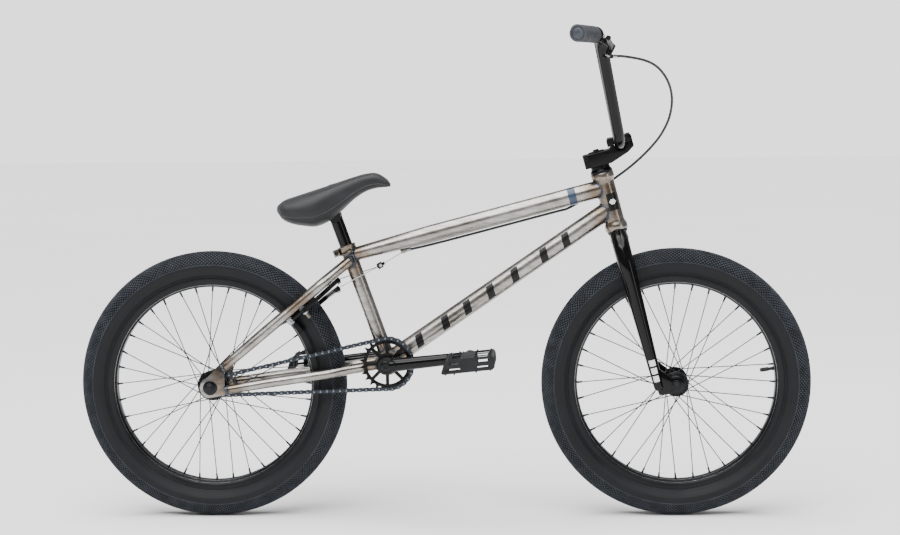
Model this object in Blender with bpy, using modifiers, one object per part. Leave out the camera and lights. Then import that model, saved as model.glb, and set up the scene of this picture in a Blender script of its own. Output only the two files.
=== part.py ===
"""A 20 inch BMX bike as separate solids: frame, fork, bars, wheels, drivetrain, rear brake and seat.

Metres, +Z up, +X forward, +Y to the rider's left. The origin is on the ground midway between the axles.
The drive side is at -Y. A side of -1 is the drive side (right) and +1 is the left.
"""

import math

import bmesh
import bpy
from mathutils import Matrix, Vector

NAME = "bmx_bike"
RIGHT, LEFT = -1, 1
SIDES = {"right": RIGHT, "left": LEFT}
GAP = 0.0003

# Wheels
WHEELBASE = 0.915
TYRE_RADIUS = 0.265
TYRE_HALF_WIDTH = 0.030
TYRE_WALL = 0.0035
BEAD_RADIUS = 0.2045
RIM_INNER_RADIUS = 0.1944
RIM_OUTER_RADIUS = 0.212
RIM_HALF_WIDTH = 0.018
SPOKES_PER_SIDE = 18
SPOKE_RADIUS = 0.0011
SPOKE_LACING = math.radians(60)
REAR_AXLE = Vector((-WHEELBASE / 2, 0, TYRE_RADIUS))
FRONT_AXLE = Vector((WHEELBASE / 2, 0, TYRE_RADIUS))

# Steering: a head tube on an axis that leans back
HEAD_ANGLE = math.radians(75.3)
HEAD_CENTRE = Vector((0.329, 0, 0.6226))
STEER_UP = Vector((-math.cos(HEAD_ANGLE), 0, math.sin(HEAD_ANGLE)))
STEER_FORWARD = Vector((math.sin(HEAD_ANGLE), 0, math.cos(HEAD_ANGLE)))
HEAD_HALF_LENGTH = 0.058
HEAD_END_RADIUS = 0.0222
HEAD_WAIST_RADIUS = 0.019
STEERER_RADIUS = 0.0143
BEARING_HEIGHT = 0.0076
BEARING_RADIUS = 0.0204

# Main frame
BB = Vector((-0.1087, 0, 0.309))
BB_HALF_WIDTH = 0.0365
BB_RADIUS = 0.0235
BB_BORE = 0.0209
SEAT_LEAN = math.radians(19.5)
SEAT_UP = Vector((-math.sin(SEAT_LEAN), 0, math.cos(SEAT_LEAN)))
SEAT_TUBE_RADIUS = 0.0143
SEAT_TUBE_BORE = 0.0130
SEAT_TUBE_LENGTH = 0.245
TOP_TUBE_HEAD = Vector((0.3217, 0, 0.6501))
TOP_TUBE_SEAT = Vector((-0.1831, 0, 0.5194))
TOP_TUBE_RADIUS = 0.0173
TOP_TUBE_SEAT_RADIUS = 0.0130
TOP_TUBE_TAPER = 0.165
DOWN_TUBE_HEAD = Vector((0.3319, 0, 0.6095))
DOWN_TUBE_RADIUS = 0.0178
TUBE_WALL = 0.0016
STAY_RADIUS = 0.0098
DROPOUT_Y = 0.058
DROPOUT_THICKNESS = 0.006
DROPOUT_RADIUS = 0.0205
SEATSTAY_END = Vector((-0.4340, 0, 0.3020))
CHAINSTAY_END = Vector((-0.4280, 0, 0.2600))

# Fork, measured along the steering axis from the head tube's centre
STEERER_TOP = 0.0975
CROWN_BOTTOM = -0.092
LEG_TOP_RADIUS = 0.0168
LEG_END_RADIUS = 0.0092
LEG_END = -0.3785
FORK_DROPOUT_Y = 0.053
AXLE_OFFSET = (FRONT_AXLE - HEAD_CENTRE).dot(STEER_FORWARD)
AXLE_DROP = (FRONT_AXLE - HEAD_CENTRE).dot(STEER_UP)

# Stem, bars and grips
STEM_BOTTOM = 0.073
STEM_TOP = 0.0995
STEM_HALF_WIDTH = 0.026
BAR_RADIUS = 0.0111
BAR_CLAMP = HEAD_CENTRE + STEER_FORWARD * 0.0486 + STEER_UP * 0.1045
BAR_BASE_Y = 0.058
BAR_TOP_CORNER = Vector((0.310, 0.160, 0.9475))
BAR_END = Vector((0.2695, 0.360, 0.9524))
CROSSBAR_SHARE = 0.62
CROSSBAR_RADIUS = 0.008
GRIP_LENGTH = 0.145
GRIP_RADIUS = 0.016
GRIP_AXIS = (BAR_END - BAR_TOP_CORNER).normalized()
GRIP_END = BAR_END + GRIP_AXIS * 0.005

# Drivetrain
CHAIN_PITCH = 0.0127
RING_TEETH, COG_TEETH = 25, 9
CHAIN_Y = -0.042
CHAIN_HALF_HEIGHT = 0.0043
CHAIN_WIDTH = 0.0084
CHAIN_GROOVE = 0.0046
TOOTH_HEIGHT = 0.0024
SPROCKET_THICKNESS = 0.0034
SPINDLE_RADIUS = 0.011
SPINDLE_HALF_LENGTH = 0.076
CRANK_LENGTH = 0.165
CRANK_Y = 0.070
CRANK_THICKNESS = 0.015
CRANK_RISE = math.radians(5.8)
CRANK_DIRECTION = Vector((math.cos(CRANK_RISE), 0, math.sin(CRANK_RISE)))
PEDAL_LENGTH, PEDAL_WIDTH, PEDAL_HEIGHT = 0.104, 0.094, 0.027
PEDAL_Y = 0.133
PEDAL_AXLE_RADIUS = 0.006

# Axles
REAR_AXLE_RADIUS = 0.007
FRONT_AXLE_RADIUS = 0.0048

# Rear brake: the arms turn on posts square to the seat stays
STAY_ANGLE = math.radians(39.7)
STAY_UP = Vector((math.cos(STAY_ANGLE), 0, math.sin(STAY_ANGLE)))
BRAKE_OUT = Vector((math.sin(STAY_ANGLE), 0, -math.cos(STAY_ANGLE)))
BRAKE_PIVOT = Vector((-0.268, 0, 0.412))
BRAKE_PIVOT_Y = 0.043
BRAKE_ARM_RADIUS = 0.005
BRAKE_ARM_LAYER = 0.0056
BRAKE_END_Y = 0.037
PAD_DROP = -0.034
PAD_Y = 0.0250
HANGER = Vector((-0.122, 0, 0.500))
HOUSING_RADIUS = 0.0025
HOUSING_STOP = Vector((-0.072, 0, 0.5286))

# Brake lever
LEVER_PIVOT = Vector((0.329, -0.206, 0.921))
LEVER_TIP = Vector((0.324, -0.298, 0.944))
LEVER_CLAMP_Y = 0.205

# Seat
SEAT_HEAD = BB + SEAT_UP * 0.306
POST_BOTTOM = 0.150
POST_RADIUS = 0.0127
SEAT_HEAD_RADIUS = 0.0125

MATERIALS = {
    "raw_steel": ((0.52, 0.50, 0.48), 0.32, 1.0),
    "gloss_black": ((0.012, 0.012, 0.014), 0.18, 0.0),
    "satin_black": ((0.02, 0.02, 0.022), 0.45, 0.3),
    "tyre_rubber": ((0.03, 0.032, 0.035), 0.8, 0.0),
    "grip_rubber": ((0.09, 0.09, 0.10), 0.8, 0.0),
    "seat_cover": ((0.035, 0.036, 0.038), 0.7, 0.0),
    "steel": ((0.6, 0.6, 0.6), 0.3, 1.0),
    "chain_steel": ((0.12, 0.13, 0.15), 0.35, 0.9),
    "pedal_plastic": ((0.025, 0.025, 0.026), 0.55, 0.0),
    "pad_rubber": ((0.03, 0.03, 0.03), 0.8, 0.0),
    "housing_black": ((0.03, 0.03, 0.03), 0.4, 0.0),
}


def clear_scene():
    for obj in list(bpy.data.objects):
        bpy.data.objects.remove(obj)


def make_collection(name):
    collection = bpy.data.collections.new(name)
    bpy.context.scene.collection.children.link(collection)
    return collection


def make_material(node, finish):
    """Each piece has its own material, with the values of its finish."""
    colour, roughness, metallic = MATERIALS[finish]
    material = bpy.data.materials.new(node)
    material.use_nodes = True
    shader = material.node_tree.nodes["Principled BSDF"]
    shader.inputs["Base Color"].default_value = (*colour, 1)
    shader.inputs["Roughness"].default_value = roughness
    shader.inputs["Metallic"].default_value = metallic
    return material


def add_object(name, data, finish):
    """A piece of the bike when it has a finish, and otherwise a hidden cutter or helper."""
    obj = bpy.data.objects.new(name, data)
    if finish:
        parts.objects.link(obj)
        data.materials.append(make_material(name, finish))
    else:
        cutters.objects.link(obj)
        obj.hide_render = True
        obj.display_type = "WIRE"
    return obj


def shade(obj):
    obj.data.shade_smooth()
    obj.data.set_sharp_from_angle(angle=math.radians(35))
    return obj


def mesh_from(bm, name):
    mesh = bpy.data.meshes.new(name)
    bm.to_mesh(mesh)
    bm.free()
    return mesh


def frame_matrix(origin, up, forward=None):
    """A matrix whose Z runs along up, and whose X is as near as it can be to forward."""
    up = up.normalized()
    side = forward if forward else Vector((0, 1, 0)) if abs(up.y) < 0.9 else Vector((1, 0, 0))
    x = (side - up * side.dot(up)).normalized()
    y = up.cross(x)
    matrix = Matrix((x, y, up)).transposed().to_4x4()
    matrix.translation = origin
    return matrix


def cylinder(name, start, end, radius, finish=None, end_radius=None, sides=16):
    bm = bmesh.new()
    length = (end - start).length
    bmesh.ops.create_cone(
        bm,
        cap_ends=True,
        segments=sides,
        radius1=radius,
        radius2=radius if end_radius is None else end_radius,
        depth=length,
    )
    obj = add_object(name, mesh_from(bm, name), finish)
    obj.matrix_world = frame_matrix((start + end) / 2, end - start)
    return shade(obj)


def block(name, centre, size, finish=None, up=Vector((0, 0, 1)), forward=Vector((1, 0, 0))):
    bm = bmesh.new()
    bmesh.ops.create_cube(bm, size=1, matrix=Matrix.Diagonal((*size, 1)))
    obj = add_object(name, mesh_from(bm, name), finish)
    obj.matrix_world = frame_matrix(centre, up, forward)
    return obj


def turned(name, profile, origin, axis, finish=None, steps=24):
    """A closed profile of (radius, height) points, down the outer side and up the inner one, turned about axis."""
    bm = bmesh.new()
    points = [bm.verts.new((radius, 0, height)) for radius, height in profile]
    for point, following in zip(points, points[1:] + points[:1]):
        bm.edges.new((point, following))
    obj = add_object(name, mesh_from(bm, name), finish)
    screw = obj.modifiers.new("turned", "SCREW")
    screw.steps = screw.render_steps = steps
    screw.use_merge_vertices = True
    screw.merge_threshold = 0.00001
    obj.matrix_world = frame_matrix(origin, axis)
    return obj


def ring_profile(outer, inner, top, bottom):
    return [(outer, top), (outer, bottom), (inner, bottom), (inner, top)]


def to_mesh(curve):
    """The curve as a mesh with its caps welded, so that it can be cut or joined."""
    graph = bpy.context.evaluated_depsgraph_get()
    mesh = bpy.data.meshes.new_from_object(curve.evaluated_get(graph))
    bm = bmesh.new()
    bm.from_mesh(mesh)
    bmesh.ops.remove_doubles(bm, verts=bm.verts, dist=0.00001)
    bm.to_mesh(mesh)
    bm.free()
    obj = bpy.data.objects.new(curve.name, mesh)
    obj.matrix_world = curve.matrix_world
    obj.hide_render = curve.hide_render
    obj.display_type = curve.display_type
    curve.users_collection[0].objects.link(obj)
    name = curve.name
    bpy.data.objects.remove(curve)
    obj.name = name
    return shade(obj)


def rod(name, points, radii, finish=None, sides_level=2):
    """A round bar through the points. radii is one radius or one for each point."""
    sizes = radii if isinstance(radii, list) else [radii] * len(points)
    curve = bpy.data.curves.new(name, "CURVE")
    curve.dimensions = "3D"
    curve.bevel_depth = max(sizes)
    curve.bevel_resolution = sides_level
    curve.use_fill_caps = True
    spline = curve.splines.new("POLY")
    spline.points.add(len(points) - 1)
    for place, point, size in zip(spline.points, points, sizes):
        place.co = (*point, 1)
        place.radius = size / max(sizes)
    return add_object(name, curve, finish)


def plate(name, outlines, y, thickness, finish=None):
    """Flat outlines of (x, z) points, the first one solid and the others holes, as a plate centred on y."""
    curve = bpy.data.curves.new(name, "CURVE")
    curve.dimensions = "2D"
    curve.fill_mode = "BOTH"
    curve.extrude = thickness / 2
    for outline in outlines:
        spline = curve.splines.new("POLY")
        spline.points.add(len(outline) - 1)
        for place, (x, z) in zip(spline.points, outline):
            place.co = (x, z, 0, 1)
        spline.use_cyclic_u = True
    obj = add_object(name, curve, finish)
    obj.matrix_world = Matrix.Translation((0, y, 0)) @ Matrix.Rotation(math.pi / 2, 4, "X")
    bpy.context.view_layer.update()
    return to_mesh(obj)


def boolean(obj, other, operation):
    modifier = obj.modifiers.new(f"{operation.lower()}_{other.name}", "BOOLEAN")
    modifier.operation = operation
    modifier.object = other
    return obj


def subtract(obj, *others):
    for other in others:
        boolean(obj, other, "DIFFERENCE")
    return obj


def unite(obj, *others):
    for other in others:
        boolean(obj, other, "UNION")
    return obj


def bevel(obj, width, segments=2):
    modifier = obj.modifiers.new("rounded", "BEVEL")
    modifier.width = width
    modifier.segments = segments
    return obj


def arc(centre, radius, start, end, count):
    """(x, z) points of an arc, angles in radians from +X towards +Z."""
    angles = [start + (end - start) * i / count for i in range(count + 1)]
    return [(centre.x + radius * math.cos(a), centre.z + radius * math.sin(a)) for a in angles]


def rounded_path(corners, radius, steps=4):
    """The corners joined by straight runs, each inner corner turned by an arc of about the given radius."""
    path = [corners[0]]
    for before, corner, after in zip(corners, corners[1:], corners[2:]):
        to_before = (before - corner).normalized()
        to_after = (after - corner).normalized()
        half = to_before.angle(to_after) / 2
        reach = min(radius / math.tan(half), 0.45 * min((before - corner).length, (after - corner).length))
        start = corner + to_before * reach
        end = corner + to_after * reach
        for i in range(steps + 1):
            share = i / steps
            first = start.lerp(corner, share)
            second = corner.lerp(end, share)
            path.append(first.lerp(second, share))
    path.append(corners[-1])
    return path


def smooth_path(points, spacing):
    """A smooth curve through the points, with a point about every spacing metres where it bends."""
    path = []
    padded = [points[0] * 2 - points[1], *points, points[-1] * 2 - points[-2]]
    for a, b, c, d in zip(padded, padded[1:], padded[2:], padded[3:]):
        straight = (b - a).angle(c - b) < 0.03 and (c - b).angle(d - c) < 0.03
        count = 1 if straight else max(1, round((c - b).length / spacing))
        for i in range(count):
            t = i / count
            path.append(
                0.5 * (2 * b + (c - a) * t + (2 * a - 5 * b + 4 * c - d) * t**2 + (3 * b - a - 3 * c + d) * t**3)
            )
    path.append(points[-1])
    return path


def sideways(point, y):
    return Vector((point.x, y, point.z))


def steer_point(forward, height, y=0.0):
    """A place given by its distances forward of and up the steering axis, from the head tube's centre."""
    return HEAD_CENTRE + STEER_FORWARD * forward + STEER_UP * height + Vector((0, y, 0))


def brake_point(along, y, out=0.0):
    """A place given by its distance up the seat stays from the brake pivots, and out from their plane."""
    return BRAKE_PIVOT + STAY_UP * along + BRAKE_OUT * out + Vector((0, y, 0))


def grip_point(y, side):
    """The bar's centre in the grip's length, at a distance y from the middle of the bike."""
    place = BAR_END + GRIP_AXIS * (y - BAR_END.y) / GRIP_AXIS.y
    return Vector((place.x, side * place.y, place.z))


def pivot(name, place, nodes):
    """Parents the nodes to an empty on their joint's axis."""
    empty = bpy.data.objects.new(name, None)
    empty.empty_display_size = 0.02
    empty.location = place
    parts.objects.link(empty)
    bpy.context.view_layer.update()
    for node in nodes:
        obj = bpy.data.objects[node]
        obj.parent = empty
        obj.matrix_parent_inverse = empty.matrix_world.inverted()


def head_profile(extra=0.0):
    """Half the outline of the head tube's outside, top to bottom, grown by extra."""
    end, waist = HEAD_END_RADIUS + extra, HEAD_WAIST_RADIUS + extra
    half = HEAD_HALF_LENGTH
    upper = [(end, half), (end, half - 0.009), (waist, half - 0.020)]
    return upper + [(radius, -height) for radius, height in reversed(upper)]


def head_tube():
    seat = BEARING_RADIUS + GAP
    depth = BEARING_HEIGHT + GAP
    bore = 0.0166
    inner = [
        (seat, -HEAD_HALF_LENGTH),
        (seat, -HEAD_HALF_LENGTH + depth),
        (bore, -HEAD_HALF_LENGTH + depth),
        (bore, HEAD_HALF_LENGTH - depth),
        (seat, HEAD_HALF_LENGTH - depth),
        (seat, HEAD_HALF_LENGTH),
    ]
    turned("head_tube", head_profile() + inner, HEAD_CENTRE, STEER_UP, "raw_steel")


def headset():
    for name, top in (("upper", HEAD_HALF_LENGTH), ("lower", -HEAD_HALF_LENGTH + BEARING_HEIGHT)):
        ring = ring_profile(BEARING_RADIUS, STEERER_RADIUS + GAP, top, top - BEARING_HEIGHT)
        turned(f"headset_bearing_{name}", ring, HEAD_CENTRE, STEER_UP, "steel")
    bottom = HEAD_HALF_LENGTH + GAP
    middle = STEM_BOTTOM - 0.005
    bore = STEERER_RADIUS + GAP
    cap = [
        (0.0185, STEM_BOTTOM - GAP),
        (0.0185, middle),
        (0.0215, bottom + 0.004),
        (0.0215, bottom),
        (bore, bottom),
        (bore, STEM_BOTTOM - GAP),
    ]
    turned("headset_cap", cap, HEAD_CENTRE, STEER_UP, "satin_black")


def frame_cutters():
    """Grown copies of the tubes that the others are mitred to."""
    axis = [(0, -HEAD_HALF_LENGTH), (0, HEAD_HALF_LENGTH)]
    return {
        "head": turned("cut_head", head_profile(GAP) + axis, HEAD_CENTRE, STEER_UP),
        "seat": cylinder(
            "cut_seat", BB, BB + SEAT_UP * (SEAT_TUBE_LENGTH + 0.02), SEAT_TUBE_RADIUS + GAP, sides=24
        ),
        "bb": cylinder(
            "cut_bb", sideways(BB, -0.06), sideways(BB, 0.06), BB_RADIUS + GAP, sides=32
        ),
    }


def main_tubes(cut):
    taper_end = TOP_TUBE_SEAT.lerp(TOP_TUBE_HEAD, TOP_TUBE_TAPER / (TOP_TUBE_HEAD - TOP_TUBE_SEAT).length)
    radii = [TOP_TUBE_SEAT_RADIUS, TOP_TUBE_RADIUS, TOP_TUBE_RADIUS]
    top = to_mesh(rod("top_tube", [TOP_TUBE_SEAT, taper_end, TOP_TUBE_HEAD], radii, "raw_steel", 4))
    along = (TOP_TUBE_HEAD - TOP_TUBE_SEAT).normalized()
    stop = cylinder("join_stop", HOUSING_STOP - along * 0.010, HOUSING_STOP, 0.0045, sides=10)
    wire_hole = cylinder("cut_wire", HOUSING_STOP - along * 0.02, HOUSING_STOP + along * 0.01, 0.0013, sides=8)
    top_bore = cylinder("cut_top_bore", TOP_TUBE_SEAT, TOP_TUBE_HEAD, TOP_TUBE_SEAT_RADIUS - TUBE_WALL, sides=12)
    unite(top, stop)
    subtract(top, top_bore, wire_hole, cut["head"], cut["seat"])

    down = cylinder("down_tube", BB, DOWN_TUBE_HEAD, DOWN_TUBE_RADIUS, "raw_steel", sides=20)
    down_bore = cylinder("cut_down_bore", BB, DOWN_TUBE_HEAD, DOWN_TUBE_RADIUS - TUBE_WALL, sides=12)
    subtract(down, down_bore, cut["head"], cut["bb"], cut["seat"])

    bottom = BB_RADIUS - 0.006
    bore_end = POST_BOTTOM - 0.045
    profile = [
        (SEAT_TUBE_RADIUS, SEAT_TUBE_LENGTH),
        (SEAT_TUBE_RADIUS, bottom),
        (0, bottom),
        (0, bore_end),
        (SEAT_TUBE_BORE, bore_end),
        (SEAT_TUBE_BORE, SEAT_TUBE_LENGTH),
    ]
    seat = turned("seat_tube", profile, BB, SEAT_UP, "raw_steel", 20)
    subtract(seat, cut["bb"])

    shell = ring_profile(BB_RADIUS, BB_BORE, BB_HALF_WIDTH, -BB_HALF_WIDTH)
    turned("bottom_bracket_shell", shell, BB, Vector((0, 1, 0)), "raw_steel", 28)


def stays(cut):
    """Two stays a side, bent out round the tyre and mitred to the seat tube or the bottom bracket shell."""
    for name, side in SIDES.items():
        chain_corners = [
            sideways(CHAINSTAY_END + Vector((GAP, 0, 0)), 0.0575),
            Vector((-0.345, 0.0475, 0.2725)),
            Vector((-0.225, 0.0430, 0.2890)),
            Vector((-0.185, 0.0300, 0.2960)),
            Vector((-0.112, 0.0270, 0.3080)),
        ]
        seat_corners = [
            sideways(SEATSTAY_END + STAY_UP * GAP, 0.0575),
            Vector((-0.300, 0.0445, 0.4130)),
            Vector((-0.232, 0.0405, 0.4695)),
            Vector((-0.183, 0.0120, 0.5090)),
        ]
        for stay, corners in (("chainstay", chain_corners), ("seatstay", seat_corners)):
            mirrored = [Vector((c.x, side * c.y, c.z)) for c in corners]
            path = rounded_path(mirrored, 0.09, 3)
            sizes = [0.0085] + [STAY_RADIUS] * (len(path) - 1)
            to_mesh(rod(f"{stay}_{name}", path, sizes, "raw_steel"))
        subtract(bpy.data.objects[f"chainstay_{name}"], cut["bb"])
        post = cylinder(
            f"join_brake_post_{name}",
            brake_point(0.0, side * BRAKE_PIVOT_Y, -0.019),
            brake_point(0.0, side * BRAKE_PIVOT_Y, 0.0135),
            0.004,
            sides=10,
        )
        seatstay = bpy.data.objects[f"seatstay_{name}"]
        unite(seatstay, post)
        subtract(seatstay, cut["seat"])


def dropouts():
    """Plates that take the axle, each with an edge square to either stay."""
    chain_up = (Vector((-0.345, 0, 0.2725)) - CHAINSTAY_END).normalized()
    upper = Vector((-STAY_UP.z, 0, STAY_UP.x)) * 0.0095
    lower = Vector((-chain_up.z, 0, chain_up.x)) * 0.0095
    outline = arc(REAR_AXLE, DROPOUT_RADIUS, math.radians(112), math.radians(262), 10)
    for corner in (CHAINSTAY_END - lower, CHAINSTAY_END + lower, SEATSTAY_END - upper, SEATSTAY_END + upper):
        outline.append((corner.x, corner.z))
    hole = arc(REAR_AXLE, REAR_AXLE_RADIUS + GAP, 0, math.tau * 15 / 16, 15)
    for name, side in SIDES.items():
        plate(f"dropout_{name}", [outline, hole], side * DROPOUT_Y, DROPOUT_THICKNESS, "raw_steel")


def seat_clamp(cut):
    """A collar round the seat tube's top, with two ears and a bolt behind."""
    top, bottom = SEAT_TUBE_LENGTH - 0.001, SEAT_TUBE_LENGTH - 0.017
    collar = turned(
        "seat_clamp",
        ring_profile(0.0185, SEAT_TUBE_RADIUS + GAP, top, bottom),
        BB,
        SEAT_UP,
        "raw_steel",
        20,
    )
    behind = Vector((-SEAT_UP.z, 0, SEAT_UP.x))
    ear_centre = BB + SEAT_UP * (top + bottom) / 2 + behind * 0.023
    ears = block("join_clamp_ears", ear_centre, (0.013, 0.018, 0.013), None, SEAT_UP, behind)
    bolt = cylinder("join_clamp_bolt", sideways(ear_centre, -0.014), sideways(ear_centre, 0.014), 0.004, sides=10)
    room = rod("cut_clamp_tube", [TOP_TUBE_SEAT, TOP_TUBE_HEAD], TOP_TUBE_SEAT_RADIUS + 0.0018, None, 4)
    room = to_mesh(room)
    unite(collar, ears, bolt)
    subtract(collar, room)
    for name in SIDES:
        path_room = cylinder(
            f"cut_clamp_stay_{name}",
            Vector((-0.232, SIDES[name] * 0.0405, 0.4695)),
            Vector((-0.170, SIDES[name] * 0.0045, 0.5190)),
            STAY_RADIUS + 0.0012,
        )
        subtract(collar, path_room)


def bottom_bracket():
    outer = 0.0206
    for name, side in SIDES.items():
        face = side * BB_HALF_WIDTH
        inner = side * (BB_HALF_WIDTH - 0.009)
        ring = ring_profile(outer, SPINDLE_RADIUS + GAP, max(face, inner), min(face, inner))
        turned(f"bottom_bracket_bearing_{name}", ring, BB, Vector((0, 1, 0)), "steel", 20)


def fork():
    profile = [
        (STEERER_RADIUS, STEERER_TOP),
        (STEERER_RADIUS, -HEAD_HALF_LENGTH - GAP),
        (0.0200, -HEAD_HALF_LENGTH - GAP),
        (0.0200, -HEAD_HALF_LENGTH - 0.0045),
        (0.0172, -HEAD_HALF_LENGTH - 0.0080),
        (0.0172, CROWN_BOTTOM),
        (0.0120, CROWN_BOTTOM),
        (0.0120, STEERER_TOP),
    ]
    turned("fork_steerer", profile, HEAD_CENTRE, STEER_UP, "gloss_black")
    grown = [(0.0175, -0.050), (0.0175, CROWN_BOTTOM - 0.010), (0, CROWN_BOTTOM - 0.010), (0, -0.050)]
    crown = turned("cut_crown", grown, HEAD_CENTRE, STEER_UP)
    race = ring_profile(0.0500, 0, 0.0, -HEAD_HALF_LENGTH - 0.0085)
    race_room = turned("cut_race", race, HEAD_CENTRE, STEER_UP)
    for name, side in SIDES.items():
        corners = [
            steer_point(0, -0.068, side * 0.016),
            steer_point(0, -0.086, side * 0.036),
            steer_point(0, -0.125, side * 0.0495),
            steer_point(-0.001, LEG_END, side * FORK_DROPOUT_Y),
        ]
        path = rounded_path(corners, 0.06, 4)
        top_height = (path[0] - HEAD_CENTRE).dot(STEER_UP)
        sizes = []
        for point in path:
            share = (top_height - (point - HEAD_CENTRE).dot(STEER_UP)) / (top_height - LEG_END)
            sizes.append(LEG_TOP_RADIUS + (LEG_END_RADIUS - LEG_TOP_RADIUS) * share**1.3)
        leg = to_mesh(rod(f"fork_leg_{name}", path, sizes, "gloss_black", 3))
        unite(leg, fork_dropout(name, side))
        subtract(leg, crown, race_room)


def fork_dropout(name, side):
    """The plate from the leg's foot forward to the axle, with the axle's hole."""
    foot = steer_point(-0.004, LEG_END - 0.009)
    heel = steer_point(-0.008, LEG_END + 0.030)
    top = steer_point(0.006, LEG_END + 0.045)
    outline = arc(FRONT_AXLE, 0.0150, math.radians(-75), math.radians(120), 8)
    for corner in (top, heel, foot):
        outline.append((corner.x, corner.z))
    hole = arc(FRONT_AXLE, FRONT_AXLE_RADIUS + GAP, 0, math.tau * 11 / 12, 11)
    return plate(f"join_fork_dropout_{name}", [outline, hole], side * FORK_DROPOUT_Y, 0.006)


def stem():
    """A top-load body: a block on the steerer with a nose that rises to the cradle under the bar."""
    profile = [
        (-0.0275, STEM_BOTTOM),
        (0.0240, STEM_BOTTOM),
        (0.0600, STEM_BOTTOM + 0.0120),
        (0.0740, STEM_BOTTOM + 0.0210),
        (0.0740, STEM_BOTTOM + 0.0300),
        (0.0260, STEM_BOTTOM + 0.0300),
        (0.0240, STEM_TOP),
        (-0.0275, STEM_TOP),
    ]
    outline = []
    for forward, height in profile:
        place = steer_point(forward, height)
        outline.append((place.x, place.z))
    body = plate("stem", [outline], 0, STEM_HALF_WIDTH * 2, "satin_black")
    bevel(body, 0.0015, 1)
    cradle = cylinder("cut_bar", sideways(BAR_CLAMP, -0.04), sideways(BAR_CLAMP, 0.04), BAR_RADIUS + GAP, sides=24)
    bore = cylinder("cut_steerer", steer_point(0, 0.05), steer_point(0, 0.12), STEERER_RADIUS + GAP, sides=24)
    subtract(body, cradle, bore)
    low, high = 0.1035, 0.1190
    cap_centre = steer_point(0.0490, (low + high) / 2)
    cap = block(
        "stem_cap",
        cap_centre,
        (0.050, STEM_HALF_WIDTH * 2 - 0.002, high - low),
        "satin_black",
        STEER_UP,
        STEER_FORWARD,
    )
    bevel(cap, 0.004, 2)
    subtract(cap, cradle)


def handlebar():
    corners = []
    for side in (RIGHT, LEFT):
        run = [BAR_END, BAR_TOP_CORNER, Vector((BAR_CLAMP.x, BAR_BASE_Y, BAR_CLAMP.z))]
        run = [Vector((p.x, side * p.y, p.z)) for p in run]
        corners += run if side == RIGHT else run[::-1]
    bar = to_mesh(rod("handlebar", rounded_path(corners, 0.050, 5), BAR_RADIUS, "gloss_black", 3))
    low = Vector((BAR_CLAMP.x, BAR_BASE_Y, BAR_CLAMP.z))
    brace = low.lerp(BAR_TOP_CORNER, CROSSBAR_SHARE)
    crossbar = cylinder(
        "join_crossbar", sideways(brace, -brace.y), sideways(brace, brace.y), CROSSBAR_RADIUS, sides=12
    )
    unite(bar, crossbar)
    bore = BAR_RADIUS + GAP
    profile = [
        (GRIP_RADIUS - 0.002, 0),
        (GRIP_RADIUS, -0.002),
        (GRIP_RADIUS, -GRIP_LENGTH),
        (bore, -GRIP_LENGTH),
        (bore, -0.0046),
        (0, -0.0046),
        (0, 0),
    ]
    for name, side in SIDES.items():
        end = Vector((GRIP_END.x, side * GRIP_END.y, GRIP_END.z))
        axis = Vector((GRIP_AXIS.x, side * GRIP_AXIS.y, GRIP_AXIS.z))
        turned(f"grip_{name}", profile, end, axis, "grip_rubber", 18)


def lever_axis():
    """The lever's pin, square to the blade and to the way from the blade to the grip."""
    blade = LEVER_TIP - LEVER_PIVOT
    middle = (LEVER_TIP + LEVER_PIVOT) / 2
    to_grip = grip_point(-middle.y, RIGHT) - middle
    return blade.cross(to_grip).normalized()


def brake_lever():
    """A bracket clamped beside the grip with a pin, and a blade that turns on the pin."""
    centre = grip_point(LEVER_CLAMP_Y, RIGHT)
    axis = Vector((GRIP_AXIS.x, -GRIP_AXIS.y, GRIP_AXIS.z))
    bracket = turned(
        "brake_lever_bracket",
        ring_profile(0.0155, BAR_RADIUS + GAP, 0.006, -0.006),
        centre,
        axis,
        "satin_black",
        20,
    )
    pin = lever_axis()
    lug_end = LEVER_PIVOT - pin * 0.0070
    reach = (lug_end - centre).normalized()
    lug = block(
        "join_lever_lug",
        centre + reach * 0.0250,
        (0.0260, 0.0110, 0.0060),
        None,
        pin,
        reach,
    )
    post = cylinder("join_lever_pin", LEVER_PIVOT - pin * 0.0090, LEVER_PIVOT + pin * 0.0080, 0.0022, sides=10)
    head = cylinder("join_lever_head", lug_end - pin * 0.0035, lug_end + pin * 0.0032, 0.0065, sides=12)
    along = (HOUSING_ROUTE[1] - HOUSING_ROUTE[0]).normalized()
    barrel_end = HOUSING_ROUTE[0] - along * GAP
    barrel_start = barrel_end - along * 0.022
    barrel = cylinder("join_lever_barrel", barrel_start, barrel_end, 0.0042, sides=10)
    foot = cylinder("join_lever_foot", LEVER_PIVOT + pin * 0.0038, LEVER_PIVOT + pin * 0.0140, 0.0064, sides=12)
    unite(bracket, lug, head, post, foot, barrel)
    room = cylinder("cut_lever_bar", centre - axis * 0.05, centre + axis * 0.05, BAR_RADIUS + GAP, sides=20)
    subtract(bracket, room)

    blade_direction = (LEVER_TIP - LEVER_PIVOT).normalized()
    corners = [
        LEVER_PIVOT,
        LEVER_PIVOT + blade_direction * 0.030 + Vector((0.004, 0, 0)),
        LEVER_PIVOT + blade_direction * 0.070,
        LEVER_TIP,
    ]
    path = rounded_path(corners, 0.05, 3)
    sizes = [0.0034] * (len(path) - 2) + [0.0042, 0.0050]
    blade = to_mesh(rod("brake_lever", path, sizes, "satin_black"))
    eye = cylinder("join_lever_eye", LEVER_PIVOT - pin * 0.0034, LEVER_PIVOT + pin * 0.0034, 0.0065, sides=12)
    hole = cylinder("cut_lever_eye", LEVER_PIVOT - pin * 0.02, LEVER_PIVOT + pin * 0.02, 0.0022 + GAP, sides=10)
    unite(blade, eye)
    subtract(blade, hole)


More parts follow.
